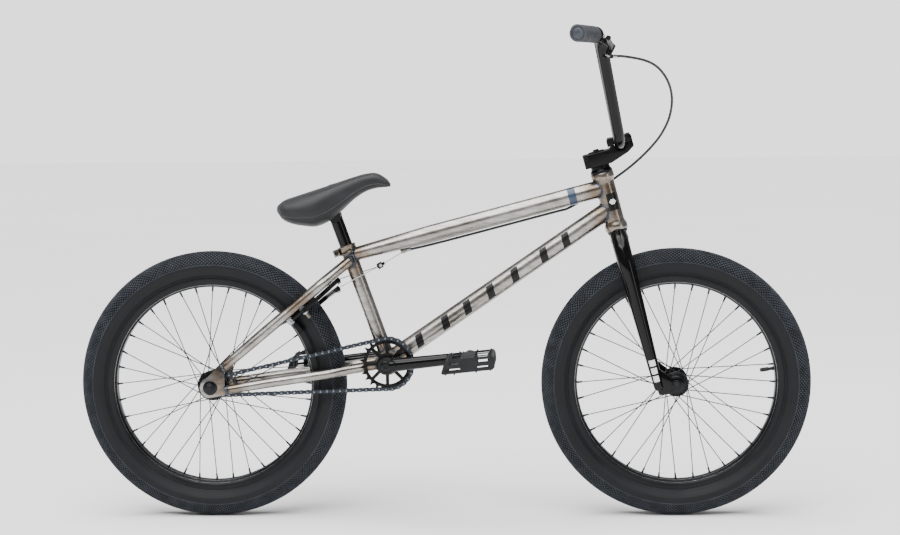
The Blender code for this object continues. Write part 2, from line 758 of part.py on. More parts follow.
def brake_arms():
    """Two arms that cross over the tyre in separate layers, each with a pad below its pivot."""
    radial = (BRAKE_PIVOT + STAY_UP * PAD_DROP - REAR_AXLE).normalized()
    for name, side in SIDES.items():
        out = -BRAKE_ARM_LAYER if side == RIGHT else BRAKE_ARM_LAYER
        corners = [
            brake_point(PAD_DROP, side * 0.0375, out),
            brake_point(0.0, side * BRAKE_PIVOT_Y, out),
            brake_point(0.042, side * 0.0400, out),
            brake_point(0.060, 0.0, out),
            brake_point(0.076, -side * BRAKE_END_Y, out),
        ]
        path = rounded_path(corners, 0.02, 3)
        arm = to_mesh(rod(f"brake_arm_{name}", path, BRAKE_ARM_RADIUS, "satin_black"))
        half = 0.0052
        eye = cylinder(
            f"join_arm_eye_{name}",
            brake_point(0, side * BRAKE_PIVOT_Y, out - half),
            brake_point(0, side * BRAKE_PIVOT_Y, out + half),
            0.0085,
            sides=14,
        )
        hole = cylinder(
            f"cut_arm_eye_{name}",
            brake_point(0, side * BRAKE_PIVOT_Y, -0.03),
            brake_point(0, side * BRAKE_PIVOT_Y, 0.03),
            0.004 + GAP,
            sides=12,
        )
        pad_centre = brake_point(PAD_DROP, side * PAD_Y, 0)
        stud = cylinder(
            f"join_pad_stud_{name}",
            pad_centre + Vector((0, side * 0.0053, 0)) + BRAKE_OUT * out,
            pad_centre + Vector((0, side * 0.0180, 0)) + BRAKE_OUT * out,
            0.0045,
            sides=10,
        )
        unite(arm, eye, stud)
        subtract(arm, hole)
        pad = block(
            f"brake_pad_{name}", pad_centre, (0.010, 0.010, 0.050), "pad_rubber",
            Vector((-radial.z, 0, radial.x)), radial,
        )
        bevel(pad, 0.001, 1)


def brake_cable():
    """The hanger, the straddle wire that it pulls, and the housing from the lever to the stop."""
    pull = (HOUSING_STOP - HANGER).normalized()
    hanger = block("cable_hanger", HANGER, (0.016, 0.012, 0.006), "satin_black", pull.cross(Vector((0, 1, 0))), pull)
    bolt = cylinder("join_hanger_bolt", HANGER + Vector((0, -0.011, 0)), HANGER + Vector((0, 0.011, 0)), 0.0035, sides=10)
    wire = cylinder("join_hanger_wire", HANGER, HOUSING_STOP - pull * 0.024, 0.0008, sides=6)
    unite(hanger, bolt, wire)
    yoke = HANGER - pull * 0.0100
    anchors = {}
    for side in (RIGHT, LEFT):
        out = BRAKE_ARM_LAYER if side == RIGHT else -BRAKE_ARM_LAYER
        anchors[side] = brake_point(0.0815, side * BRAKE_END_Y, out)
    path = [anchors[RIGHT], yoke + Vector((0, -0.004, 0)), yoke + Vector((0, 0.004, 0)), anchors[LEFT]]
    rod("straddle_wire", path, 0.0009, "steel")
    rod("brake_housing", smooth_path(HOUSING_ROUTE, 0.018), HOUSING_RADIUS, "housing_black")


def rim(name, axle):
    profile = [
        (RIM_OUTER_RADIUS, RIM_HALF_WIDTH),
        (RIM_OUTER_RADIUS - 0.012, RIM_HALF_WIDTH),
        (RIM_INNER_RADIUS, 0.011),
        (RIM_INNER_RADIUS, -0.011),
        (RIM_OUTER_RADIUS - 0.012, -RIM_HALF_WIDTH),
        (RIM_OUTER_RADIUS, -RIM_HALF_WIDTH),
        (RIM_OUTER_RADIUS, -RIM_HALF_WIDTH + 0.0022),
        (BEAD_RADIUS - 0.001, -RIM_HALF_WIDTH + 0.0024),
        (BEAD_RADIUS - 0.001, RIM_HALF_WIDTH - 0.0024),
        (RIM_OUTER_RADIUS, RIM_HALF_WIDTH - 0.0022),
    ]
    turned(f"{name}_rim", profile[::-1], axle, Vector((0, 1, 0)), "satin_black", 32)


def tyre(name, axle):
    """A carcass open at the beads, with a round section above the rim's flanges."""
    middle = RIM_OUTER_RADIUS + 0.0245
    height = TYRE_RADIUS - middle

    def section(wall, count):
        points = []
        for i in range(count + 1):
            angle = math.radians(-52 + 284 * i / count)
            points.append(
                (middle + (height - wall) * math.sin(angle), (TYRE_HALF_WIDTH - wall) * math.cos(angle))
            )
        return points

    bead_y = RIM_HALF_WIDTH - 0.0030
    outer = [(BEAD_RADIUS, bead_y), (RIM_OUTER_RADIUS + 0.001, bead_y), *section(0, 8)]
    outer += [(RIM_OUTER_RADIUS + 0.001, -bead_y), (BEAD_RADIUS, -bead_y)]
    inner_y = bead_y - 0.005
    inner = [(BEAD_RADIUS, -inner_y), *reversed(section(TYRE_WALL, 5)), (BEAD_RADIUS, inner_y)]
    turned(f"{name}_tyre", outer + inner, axle, Vector((0, 1, 0)), "tyre_rubber", 32)


def hub(name, axle, bore, flanges, ends, barrel=0.0155):
    """A shell with a flange each side. flanges holds (y, radius), and ends the places of its faces, right then left."""
    (right_y, right_radius), (left_y, left_radius) = flanges
    right_end, left_end = ends
    half = 0.0018
    neck = bore + 0.0040
    profile = [
        (neck, left_end),
        (neck, left_y + 0.006),
        (left_radius, left_y + half),
        (left_radius, left_y - half),
        (barrel, left_y - 0.008),
        (barrel, right_y + 0.008),
        (right_radius, right_y + half),
        (right_radius, right_y - half),
        (neck, right_y - 0.006),
        (neck, right_end),
        (bore, right_end),
        (bore, left_end),
    ]
    turned(f"{name}_hub", profile, axle, Vector((0, 1, 0)), "satin_black", 20)


def spokes(name, axle, side_name, flange, phase):
    """Nine leading and nine trailing spokes a side, joined where they cross."""
    flange_y, flange_radius = flange
    hole_radius = flange_radius - 0.0035
    end_radius = RIM_INNER_RADIUS - GAP
    end_y = math.copysign(0.004, flange_y)
    step = math.tau / SPOKES_PER_SIDE
    layers = []
    for direction, first in ((1, 0), (-1, 1)):
        layer_y = flange_y + direction * SPOKE_RADIUS / 4
        bm = bmesh.new()
        for i in range(first, SPOKES_PER_SIDE, 2):
            start_angle = phase + step * i
            end_angle = start_angle + direction * SPOKE_LACING
            start = Vector((hole_radius * math.cos(start_angle), layer_y, hole_radius * math.sin(start_angle)))
            end = Vector((end_radius * math.cos(end_angle), end_y, end_radius * math.sin(end_angle)))
            along = (end - start).normalized()
            while math.hypot(start.x, start.z) < flange_radius + 0.0015:
                start = start + along * 0.0005
            end = end - along * 0.0015
            matrix = frame_matrix((start + end) / 2, along)
            bmesh.ops.create_cone(
                bm, cap_ends=True, segments=3, radius1=SPOKE_RADIUS, radius2=SPOKE_RADIUS,
                depth=(end - start).length, matrix=matrix,
            )
        leading = direction == 1
        node = f"{name}_spokes_{side_name}"
        layer = add_object(node if leading else f"join_{node}", mesh_from(bm, node), "steel" if leading else None)
        layer.location = axle
        layers.append(layer)
    unite(*layers)


def wheels():
    front_flanges = ((-0.0320, 0.0245), (0.0320, 0.0245))
    rear_flanges = ((-0.0270, 0.0300), (0.0340, 0.0245))
    hub("front", FRONT_AXLE, FRONT_AXLE_RADIUS + GAP, front_flanges, (-0.0497, 0.0497))
    hub("rear", REAR_AXLE, REAR_AXLE_RADIUS + GAP, rear_flanges, (-0.0355, 0.0547), 0.0175)
    for name, axle, flanges in (("front", FRONT_AXLE, front_flanges), ("rear", REAR_AXLE, rear_flanges)):
        rim(name, axle)
        tyre(name, axle)
        for side_name, flange, phase in zip(SIDES, flanges, (0.0, math.radians(10))):
            spokes(name, axle, side_name, flange, phase)


def axles():
    across = Vector((0, 1, 0))
    bolt = cylinder(
        "front_axle", FRONT_AXLE - across * 0.064, FRONT_AXLE + across * 0.064, FRONT_AXLE_RADIUS, "steel", sides=12
    )
    for name, side in SIDES.items():
        nut = cylinder(
            f"join_front_nut_{name}",
            FRONT_AXLE + across * side * (FORK_DROPOUT_Y + 0.0033),
            FRONT_AXLE + across * side * (FORK_DROPOUT_Y + 0.0105),
            0.0085,
            sides=6,
        )
        unite(bolt, nut)
    cylinder("rear_axle", REAR_AXLE - across * 0.072, REAR_AXLE + across * 0.072, REAR_AXLE_RADIUS, "steel", sides=16)
    start = DROPOUT_Y + DROPOUT_THICKNESS / 2 + GAP
    for name, side in SIDES.items():
        nut = cylinder(
            f"rear_axle_nut_{name}",
            REAR_AXLE + across * side * start,
            REAR_AXLE + across * side * (start + 0.0095),
            0.0110,
            "satin_black",
            sides=6,
        )
        hole = cylinder(
            f"cut_nut_{name}",
            REAR_AXLE - across * 0.1,
            REAR_AXLE + across * 0.1,
            REAR_AXLE_RADIUS + GAP,
            sides=16,
        )
        subtract(nut, hole)


def pitch_radius(teeth):
    return CHAIN_PITCH / 2 / math.sin(math.pi / teeth)


def tooth_outline(centre, teeth):
    """Root and tip points of each tooth, turned about the centre."""
    pitch = pitch_radius(teeth)
    root, tip = pitch - 0.0038, pitch + TOOTH_HEIGHT
    step = math.tau / teeth
    outline = []
    for tooth in range(teeth):
        for share, radius in ((-0.30, root), (-0.07, tip), (0.07, tip), (0.30, root)):
            angle = step * (tooth + share)
            outline.append((centre.x + radius * math.cos(angle), centre.z + radius * math.sin(angle)))
    return outline


def sprockets():
    outlines = [tooth_outline(BB, RING_TEETH)]
    windows = 8
    for i in range(windows):
        middle = math.tau * (i + 0.5) / windows
        outer = arc(BB, 0.0400, middle - 0.30, middle + 0.30, 4)
        inner = arc(BB, 0.0210, middle + 0.20, middle - 0.20, 2)
        outlines.append(outer + inner)
    outlines.append(arc(BB, SPINDLE_RADIUS + GAP, 0, math.tau * 19 / 20, 19))
    plate("chainring", outlines, CHAIN_Y, SPROCKET_THICKNESS, "satin_black")

    cog = plate("driver", [tooth_outline(REAR_AXLE, COG_TEETH)], CHAIN_Y, SPROCKET_THICKNESS, "chain_steel")
    sleeve = cylinder(
        "join_driver_sleeve", sideways(REAR_AXLE, -0.0545), sideways(REAR_AXLE, -0.0360), 0.0115, sides=18
    )
    hole = cylinder(
        "cut_driver", sideways(REAR_AXLE, -0.06), sideways(REAR_AXLE, -0.03), REAR_AXLE_RADIUS + GAP, sides=18
    )
    unite(cog, sleeve)
    subtract(cog, hole)


def chain_loop(offset):
    """The chain's path as (x, z) points, offset outwards from its pitch line."""
    ring, cog = pitch_radius(RING_TEETH), pitch_radius(COG_TEETH)
    line = BB - REAR_AXLE
    tilt = math.atan2(line.z, line.x)
    spread = math.asin((ring - cog) / line.length)
    front = arc(BB, ring + offset, tilt - math.pi / 2 - spread, tilt + math.pi / 2 + spread, 20)
    back = arc(REAR_AXLE, cog + offset, tilt + math.pi / 2 + spread, tilt + math.pi * 3 / 2 - spread, 10)
    return front + back


def chain():
    """A channel with the chain's outline, open towards the sprockets whose teeth run in it."""
    loop = [chain_loop(CHAIN_HALF_HEIGHT), chain_loop(-CHAIN_HALF_HEIGHT)]
    band = plate("chain", loop, CHAIN_Y, CHAIN_WIDTH, "chain_steel")
    room = [chain_loop(TOOTH_HEIGHT + 0.0006), chain_loop(-CHAIN_HALF_HEIGHT - 0.002)]
    groove = plate("cut_chain_groove", room, CHAIN_Y, CHAIN_GROOVE)
    subtract(band, groove)


def crank_axis_point(side, along, y):
    direction = CRANK_DIRECTION if side == RIGHT else -CRANK_DIRECTION
    return BB + direction * along + Vector((0, side * y, 0))


def cranks():
    across = Vector((0, 1, 0))
    cylinder(
        "crank_spindle", BB - across * SPINDLE_HALF_LENGTH, BB + across * SPINDLE_HALF_LENGTH, SPINDLE_RADIUS,
        "steel", sides=20,
    )
    inner_faces = {RIGHT: -CHAIN_Y + SPROCKET_THICKNESS / 2 + GAP, LEFT: BB_HALF_WIDTH + 0.003}
    for name, side in SIDES.items():
        boss = cylinder(
            f"crank_arm_{name}",
            crank_axis_point(side, 0, inner_faces[side]),
            crank_axis_point(side, 0, SPINDLE_HALF_LENGTH + 0.0015),
            0.0158,
            "gloss_black",
            sides=24,
        )
        arm = cylinder(
            f"join_crank_tube_{name}",
            crank_axis_point(side, 0.002, CRANK_Y),
            crank_axis_point(side, CRANK_LENGTH - 0.002, CRANK_Y),
            0.0140,
            end_radius=0.0120,
            sides=16,
        )
        arm.matrix_world = arm.matrix_world @ Matrix.Diagonal((CRANK_THICKNESS / 0.0280, 1, 1, 1))
        pedal_boss = cylinder(
            f"join_pedal_boss_{name}",
            crank_axis_point(side, CRANK_LENGTH, CRANK_Y - CRANK_THICKNESS / 2),
            crank_axis_point(side, CRANK_LENGTH, CRANK_Y + CRANK_THICKNESS / 2),
            0.0130,
            sides=20,
        )
        bore = cylinder(
            f"cut_crank_bore_{name}",
            crank_axis_point(side, 0, 0.0),
            crank_axis_point(side, 0, 0.1),
            SPINDLE_RADIUS + GAP,
            sides=20,
        )
        thread = cylinder(
            f"cut_pedal_thread_{name}",
            crank_axis_point(side, CRANK_LENGTH, 0.04),
            crank_axis_point(side, CRANK_LENGTH, 0.1),
            0.0070 + GAP,
            sides=14,
        )
        unite(boss, arm, pedal_boss)
        subtract(boss, bore, thread)
        pedal(name, side)


def pedal(name, side):
    """A platform with four pockets round the sleeve that turns on the axle."""
    threaded_end = CRANK_Y + CRANK_THICKNESS / 2
    axle = cylinder(
        f"pedal_axle_{name}",
        crank_axis_point(side, CRANK_LENGTH, CRANK_Y - CRANK_THICKNESS / 2),
        crank_axis_point(side, CRANK_LENGTH, threaded_end + 0.001),
        0.0070,
        "steel",
        sides=12,
    )
    collar = cylinder(
        f"join_axle_collar_{name}",
        crank_axis_point(side, CRANK_LENGTH, threaded_end + 0.0005),
        crank_axis_point(side, CRANK_LENGTH, threaded_end + 0.0050),
        0.0088,
        sides=12,
    )
    shaft = cylinder(
        f"join_axle_shaft_{name}",
        crank_axis_point(side, CRANK_LENGTH, threaded_end),
        crank_axis_point(side, CRANK_LENGTH, PEDAL_Y + PEDAL_WIDTH / 2 - 0.006),
        PEDAL_AXLE_RADIUS,
        sides=12,
    )
    unite(axle, collar, shaft)
    centre = crank_axis_point(side, CRANK_LENGTH, PEDAL_Y)
    up = Vector((-CRANK_DIRECTION.z, 0, CRANK_DIRECTION.x))
    size = (PEDAL_LENGTH, PEDAL_WIDTH, PEDAL_HEIGHT)
    body = block(f"pedal_{name}", centre, size, "pedal_plastic", up, CRANK_DIRECTION)
    bevel(body, 0.002, 1)
    for i, (forward, sideway) in enumerate(((1, 1), (1, -1), (-1, 1), (-1, -1))):
        pocket_centre = centre + CRANK_DIRECTION * forward * 0.0290 + Vector((0, sideway * 0.0215, 0))
        pocket = block(
            f"cut_pedal_pocket_{name}_{i}", pocket_centre, (0.030, 0.031, 0.05), None, up, CRANK_DIRECTION
        )
        subtract(body, pocket)
    bore = cylinder(
        f"cut_pedal_bore_{name}",
        crank_axis_point(side, CRANK_LENGTH, PEDAL_Y - 0.06),
        crank_axis_point(side, CRANK_LENGTH, PEDAL_Y + PEDAL_WIDTH / 2 - 0.004),
        PEDAL_AXLE_RADIUS + GAP,
        sides=12,
    )
    subtract(body, bore)


def seat_post():
    post = cylinder(
        "seat_post", BB + SEAT_UP * POST_BOTTOM, BB + SEAT_UP * 0.304, POST_RADIUS, "gloss_black", sides=20
    )
    across = Vector((0, 0.0145, 0))
    head = cylinder("join_post_head", SEAT_HEAD - across, SEAT_HEAD + across, SEAT_HEAD_RADIUS, sides=16)
    unite(post, head)


def seat():
    """A saddle lofted from sections: place, top, bottom and half width."""
    sections = [
        (-0.3225, 0.6205, 0.6060, 0.030),
        (-0.3120, 0.6290, 0.5930, 0.052),
        (-0.2950, 0.6350, 0.5845, 0.062),
        (-0.2700, 0.6430, 0.5795, 0.066),
        (-0.2450, 0.6510, 0.5785, 0.063),
        (-0.2200, 0.6590, 0.5890, 0.052),
        (-0.1990, 0.6660, 0.6060, 0.040),
        (-0.1740, 0.6740, 0.6290, 0.029),
        (-0.1500, 0.6805, 0.6450, 0.0225),
        (-0.1280, 0.6815, 0.6520, 0.0200),
        (-0.1080, 0.6700, 0.6540, 0.0165),
        (-0.1010, 0.6610, 0.6550, 0.0110),
    ]
    bm = bmesh.new()
    rings = []
    count = 14
    for x, top, bottom, half in sections:
        middle, height = (top + bottom) / 2, (top - bottom) / 2
        ring = []
        for i in range(count):
            angle = math.tau * i / count
            flat = abs(math.cos(angle)) ** 0.7 * math.copysign(1, math.cos(angle))
            tall = abs(math.sin(angle)) ** 0.8 * math.copysign(1, math.sin(angle))
            ring.append(bm.verts.new((x, half * flat, middle + height * tall)))
        rings.append(ring)
    for ring, following in zip(rings, rings[1:]):
        for i in range(count):
            j = (i + 1) % count
            bm.faces.new((ring[i], ring[j], following[j], following[i]))
    bm.faces.new(rings[0][::-1])
    bm.faces.new(rings[-1])
    bmesh.ops.recalc_face_normals(bm, faces=bm.faces)
    saddle = shade(add_object("seat", mesh_from(bm, "seat"), "seat_cover"))
    across = Vector((0, 0.0170, 0))
    room = cylinder("cut_seat_head", SEAT_HEAD - across, SEAT_HEAD + across, SEAT_HEAD_RADIUS + 0.0008, sides=20)
    slot = block("cut_seat_post", SEAT_HEAD - SEAT_UP * 0.020, (0.040, 0.034, 0.042), None, SEAT_UP)
    subtract(saddle, room, slot)


def joints():
    """An empty on each joint's axis, with the pieces that move on it."""
    both = list(SIDES)
    pivot("joint_steering", HEAD_CENTRE, [
        "fork_steerer", "headset_cap", "stem", "stem_cap", "handlebar", "brake_lever_bracket", "front_axle",
        *[f"{node}_{side}" for node in ("fork_leg", "grip") for side in both],
    ])
    for wheel, axle in (("front", FRONT_AXLE), ("rear", REAR_AXLE)):
        turning = [f"{wheel}_{node}" for node in ("tyre", "rim", "hub", "spokes_right", "spokes_left")]
        pivot(f"joint_{wheel}_wheel", axle, turning)
    pivot("joint_driver", REAR_AXLE, ["driver"])
    crank_nodes = ["crank_spindle", "chainring"]
    crank_nodes += [f"{node}_{side}" for node in ("crank_arm", "pedal_axle") for side in both]
    pivot("joint_crank", BB, crank_nodes)
    for name, side in SIDES.items():
        pivot(f"joint_pedal_{name}", crank_axis_point(side, CRANK_LENGTH, PEDAL_Y), [f"pedal_{name}"])
        arm_nodes = [f"brake_arm_{name}", f"brake_pad_{name}"]
        pivot(f"joint_brake_arm_{name}", brake_point(0, side * BRAKE_PIVOT_Y), arm_nodes)
    pivot("joint_brake_lever", LEVER_PIVOT, ["brake_lever"])
    pivot("joint_cable_hanger", HANGER, ["cable_hanger"])
    pivot("joint_seat_height", SEAT_HEAD, ["seat_post"])
    pivot("joint_seat_tilt", SEAT_HEAD, ["seat"])


# The housing's route, from the lever's barrel round in front of the head tube to the stop under the top tube
HOUSING_ROUTE = [
    Vector((0.3330, -0.1870, 0.9080)),
    Vector((0.3560, -0.1650, 0.9072)),
    Vector((0.3960, -0.1380, 0.8985)),
    Vector((0.4220, -0.1120, 0.8830)),
    Vector((0.4410, -0.0840, 0.8560)),
    Vector((0.4490, -0.0560, 0.8230)),
    Vector((0.4450, -0.0290, 0.7870)),
    Vector((0.4300, -0.0060, 0.7530)),
    Vector((0.4070, 0.0120, 0.7230)),
    Vector((0.3750, 0.0260, 0.6920)),
    Vector((0.3410, 0.0320, 0.6660)),
    Vector((0.3090, 0.0290, 0.6450)),
    Vector((0.2780, 0.0170, 0.6260)),
    Vector((0.2480, 0.0050, 0.6090)),
    Vector((0.2150, 0.0000, 0.6005)),
    Vector((0.0000, 0.0000, 0.5452)),
    HOUSING_STOP + Vector((0.0003, 0, 0.0001)),
]

clear_scene()
parts = make_collection(NAME)
cutters = make_collection("cutters")
cutters.hide_render = True
mitres = frame_cutters()
head_tube()
headset()
main_tubes(mitres)
stays(mitres)
dropouts()
seat_clamp(mitres)
bottom_bracket()
fork()
stem()
handlebar()
brake_lever()
brake_arms()
brake_cable()
wheels()
axles()
sprockets()
chain()
cranks()
seat_post()
seat()
joints()
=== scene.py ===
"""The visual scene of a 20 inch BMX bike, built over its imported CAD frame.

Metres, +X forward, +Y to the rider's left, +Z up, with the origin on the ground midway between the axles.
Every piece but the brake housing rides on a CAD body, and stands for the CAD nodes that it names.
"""

import logging
import math
from dataclasses import dataclass, field
from enum import Enum
from functools import lru_cache
from typing import Any, Callable, Iterable, Sequence

import bmesh
import bpy
from mathutils import Matrix, Vector, noise
from mathutils.geometry import tessellate_polygon
from mathutils.kdtree import KDTree


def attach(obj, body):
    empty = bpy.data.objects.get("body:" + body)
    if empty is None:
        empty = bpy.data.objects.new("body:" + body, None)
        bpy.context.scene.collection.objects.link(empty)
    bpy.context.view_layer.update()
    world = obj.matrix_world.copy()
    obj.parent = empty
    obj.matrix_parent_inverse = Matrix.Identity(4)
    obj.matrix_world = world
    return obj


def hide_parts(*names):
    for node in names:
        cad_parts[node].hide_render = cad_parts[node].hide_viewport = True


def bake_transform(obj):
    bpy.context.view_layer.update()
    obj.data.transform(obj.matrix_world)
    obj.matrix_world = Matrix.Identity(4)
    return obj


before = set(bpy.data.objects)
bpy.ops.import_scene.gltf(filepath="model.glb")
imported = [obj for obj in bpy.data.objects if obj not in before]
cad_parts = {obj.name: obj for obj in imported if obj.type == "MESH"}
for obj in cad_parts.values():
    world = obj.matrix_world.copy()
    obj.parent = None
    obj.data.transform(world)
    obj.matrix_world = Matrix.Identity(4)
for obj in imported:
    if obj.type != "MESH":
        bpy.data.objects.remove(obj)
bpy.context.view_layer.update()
LOG = logging.getLogger("bmx_bike")
MM = 0.001

Outline = list[tuple[float, float]]
Path = list[Vector]

# Places shared with the CAD frame
REAR_AXLE = Vector((-0.4575, 0, 0.265))
FRONT_AXLE = Vector((0.4575, 0, 0.265))
HEAD_ANGLE = math.radians(75.3)
HEAD = Vector((0.329, 0, 0.6226))
STEER_UP = Vector((-math.cos(HEAD_ANGLE), 0, math.sin(HEAD_ANGLE)))
STEER_FORWARD = Vector((math.sin(HEAD_ANGLE), 0, math.cos(HEAD_ANGLE)))
BB = Vector((-0.1087, 0, 0.309))
SEAT_LEAN = math.radians(19.5)
SEAT_UP = Vector((-math.sin(SEAT_LEAN), 0, math.cos(SEAT_LEAN)))
SEAT_BACK = Vector((-SEAT_UP.z, 0, SEAT_UP.x))
STAY_ANGLE = math.radians(39.7)
STAY_UP = Vector((math.cos(STAY_ANGLE), 0, math.sin(STAY_ANGLE)))
BRAKE_OUT = Vector((math.sin(STAY_ANGLE), 0, -math.cos(STAY_ANGLE)))
CRANK_RISE = math.radians(5.8)
CRANK_FORWARD = Vector((math.cos(CRANK_RISE), 0, math.sin(CRANK_RISE)))
CRANK_UP = Vector((-CRANK_FORWARD.z, 0, CRANK_FORWARD.x))
ACROSS = Vector((0, 1, 0))
BRAKE_PIVOT = Vector((-0.268, 0, 0.412))
HOUSING_STOP = Vector((-0.072, 0, 0.5286))
BAR_FORWARD, BAR_HEIGHT = 0.0486, 0.1045

# Edges sharper than the first are rounded where a piece asks for it, and sharper than the second are shaded apart
BEVEL_ANGLE = math.radians(35)
CREASE_ANGLE = math.radians(42)


class Side(Enum):
    """The two sides of the bike. The chain is on the right."""

    RIGHT = -1
    LEFT = 1

    @property
    def word(self) -> str:
        """The side as node names spell it."""
        return self.name.lower()


class Grain(Enum):
    """How a surface's fine relief was made."""

    CAST = "fine sand texture of a mould or of powder coat"
    HIDE = "pebbled cells of an embossed cover"
    BRUSHED = "fine lines left by an abrasive belt"


# ---------------------------------------------------------------- materials


def linear(code: str) -> tuple[float, float, float, float]:
    """Turns an sRGB hex colour into linear red, green, blue and alpha.

    Args:
        code: The colour as #rrggbb.

    Returns:
        Four linear values, with alpha at 1.
    """
    parts = [int(code[i : i + 2], 16) / 255 for i in (1, 3, 5)]
    curve = [p / 12.92 if p <= 0.04045 else ((p + 0.055) / 1.055) ** 2.4 for p in parts]
    return (curve[0], curve[1], curve[2], 1.0)


def add_node(
    tree: Any,
    kind: str,
    settings: dict[str, Any] | None = None,
    inputs: dict[Any, Any] | None = None,
    stops: Sequence[tuple[float, str]] = (),
) -> Any:
    """Adds a shader node with its settings, values and links.

    Args:
        tree: The material's node tree.
        kind: The node's Blender type, without ShaderNode.
        settings: Attributes of the node.
        inputs: Input sockets by name or number, each given a value or a socket to link from.
        stops: Positions and sRGB hex colours, where the node is a colour ramp.

    Returns:
        The new node.
    """
    node = tree.nodes.new("ShaderNode" + kind)
    for key, value in (settings or {}).items():
        setattr(node, key, value)
    for key, value in (inputs or {}).items():
        if isinstance(value, bpy.types.NodeSocket):
            tree.links.new(value, node.inputs[key])
        else:
            node.inputs[key].default_value = value
    if stops:
        elements = node.color_ramp.elements
        while len(elements) < len(stops):
            elements.new(0.5)
        for element, (position, code) in zip(elements, stops):
            element.position = position
            element.color = linear(code)
    return node


@dataclass(frozen=True)
class Finish:
    """A material in two close tones, with its own blotches, relief and clear coat.

    The name says what the real material is. Blotches and grain are sizes on the real thing in millimetres.
    """

    name: str
    colour: str
    tone: str
    roughness: float
    metallic: float = 0.0
    spread: float = 0.06
    blotch_mm: float = 40.0
    grain_mm: float = 0.8
    depth_mm: float = 0.02
    grain: Grain = Grain.CAST
    coat: float = 0.0
    coat_roughness: float = 0.08
    sheen: float = 0.0
    ior: float = 1.5
    specular: float = 0.5

    def base_colour(self, tree: Any, place: Any, blotch: Any) -> Any:
        """The colour socket: the two tones mixed by the blotches."""
        return add_node(tree, "ValToRGB", inputs={0: blotch}, stops=((0.35, self.colour), (0.68, self.tone))).outputs[0]

    def relief(self, tree: Any, place: Any) -> Any:
        """Builds the fine relief.

        Args:
            tree: The material's node tree.
            place: The socket of the object's own coordinates.

        Returns:
            The height socket.
        """
        scale = 1000 / self.grain_mm
        if self.grain is Grain.HIDE:
            cells = add_node(
                tree, "TexVoronoi", {"feature": "SMOOTH_F1"}, {"Vector": place, "Scale": scale}
            )
            return cells.outputs["Distance"]
        if self.grain is Grain.BRUSHED:
            turned = add_node(tree, "Mapping", inputs={"Vector": place, "Scale": (1.0, 0.06, 1.0)})
            lines = add_node(tree, "TexNoise", inputs={"Vector": turned.outputs[0], "Scale": scale})
            return lines.outputs["Fac"]
        sand = add_node(tree, "TexNoise", inputs={"Vector": place, "Scale": scale, "Detail": 3.0})
        return sand.outputs["Fac"]

    @lru_cache(maxsize=None)
    def material(self) -> bpy.types.Material:
        """Builds the node tree once.

        Returns:
            The material.
        """
        material = bpy.data.materials.new(self.name)
        material.use_nodes = True
        tree = material.node_tree
        shader = tree.nodes["Principled BSDF"]
        place = add_node(tree, "TexCoord").outputs["Object"]
        blotch = add_node(
            tree, "TexNoise", inputs={"Vector": place, "Scale": 1000 / self.blotch_mm, "Detail": 5.0}
        ).outputs["Fac"]
        tree.links.new(self.base_colour(tree, place, blotch), shader.inputs["Base Color"])
        dull = add_node(
            tree,
            "MapRange",
            inputs={
                "Value": blotch,
                "From Min": 0.3,
                "From Max": 0.7,
                "To Min": max(self.roughness - self.spread, 0.02),
                "To Max": min(self.roughness + self.spread, 1.0),
            },
        )
        tree.links.new(dull.outputs[0], shader.inputs["Roughness"])
        bump = add_node(
            tree,
            "Bump",
            inputs={"Height": self.relief(tree, place), "Distance": self.depth_mm * MM, "Strength": 1.0},
        )
        tree.links.new(bump.outputs[0], shader.inputs["Normal"])
        shader.inputs["Metallic"].default_value = self.metallic
        if not self.metallic:
            shader.inputs["IOR"].default_value = self.ior
            shader.inputs["Specular IOR Level"].default_value = self.specular
        shader.inputs["Coat Weight"].default_value = self.coat
        shader.inputs["Coat Roughness"].default_value = self.coat_roughness
        shader.inputs["Sheen Weight"].default_value = self.sheen
        return material


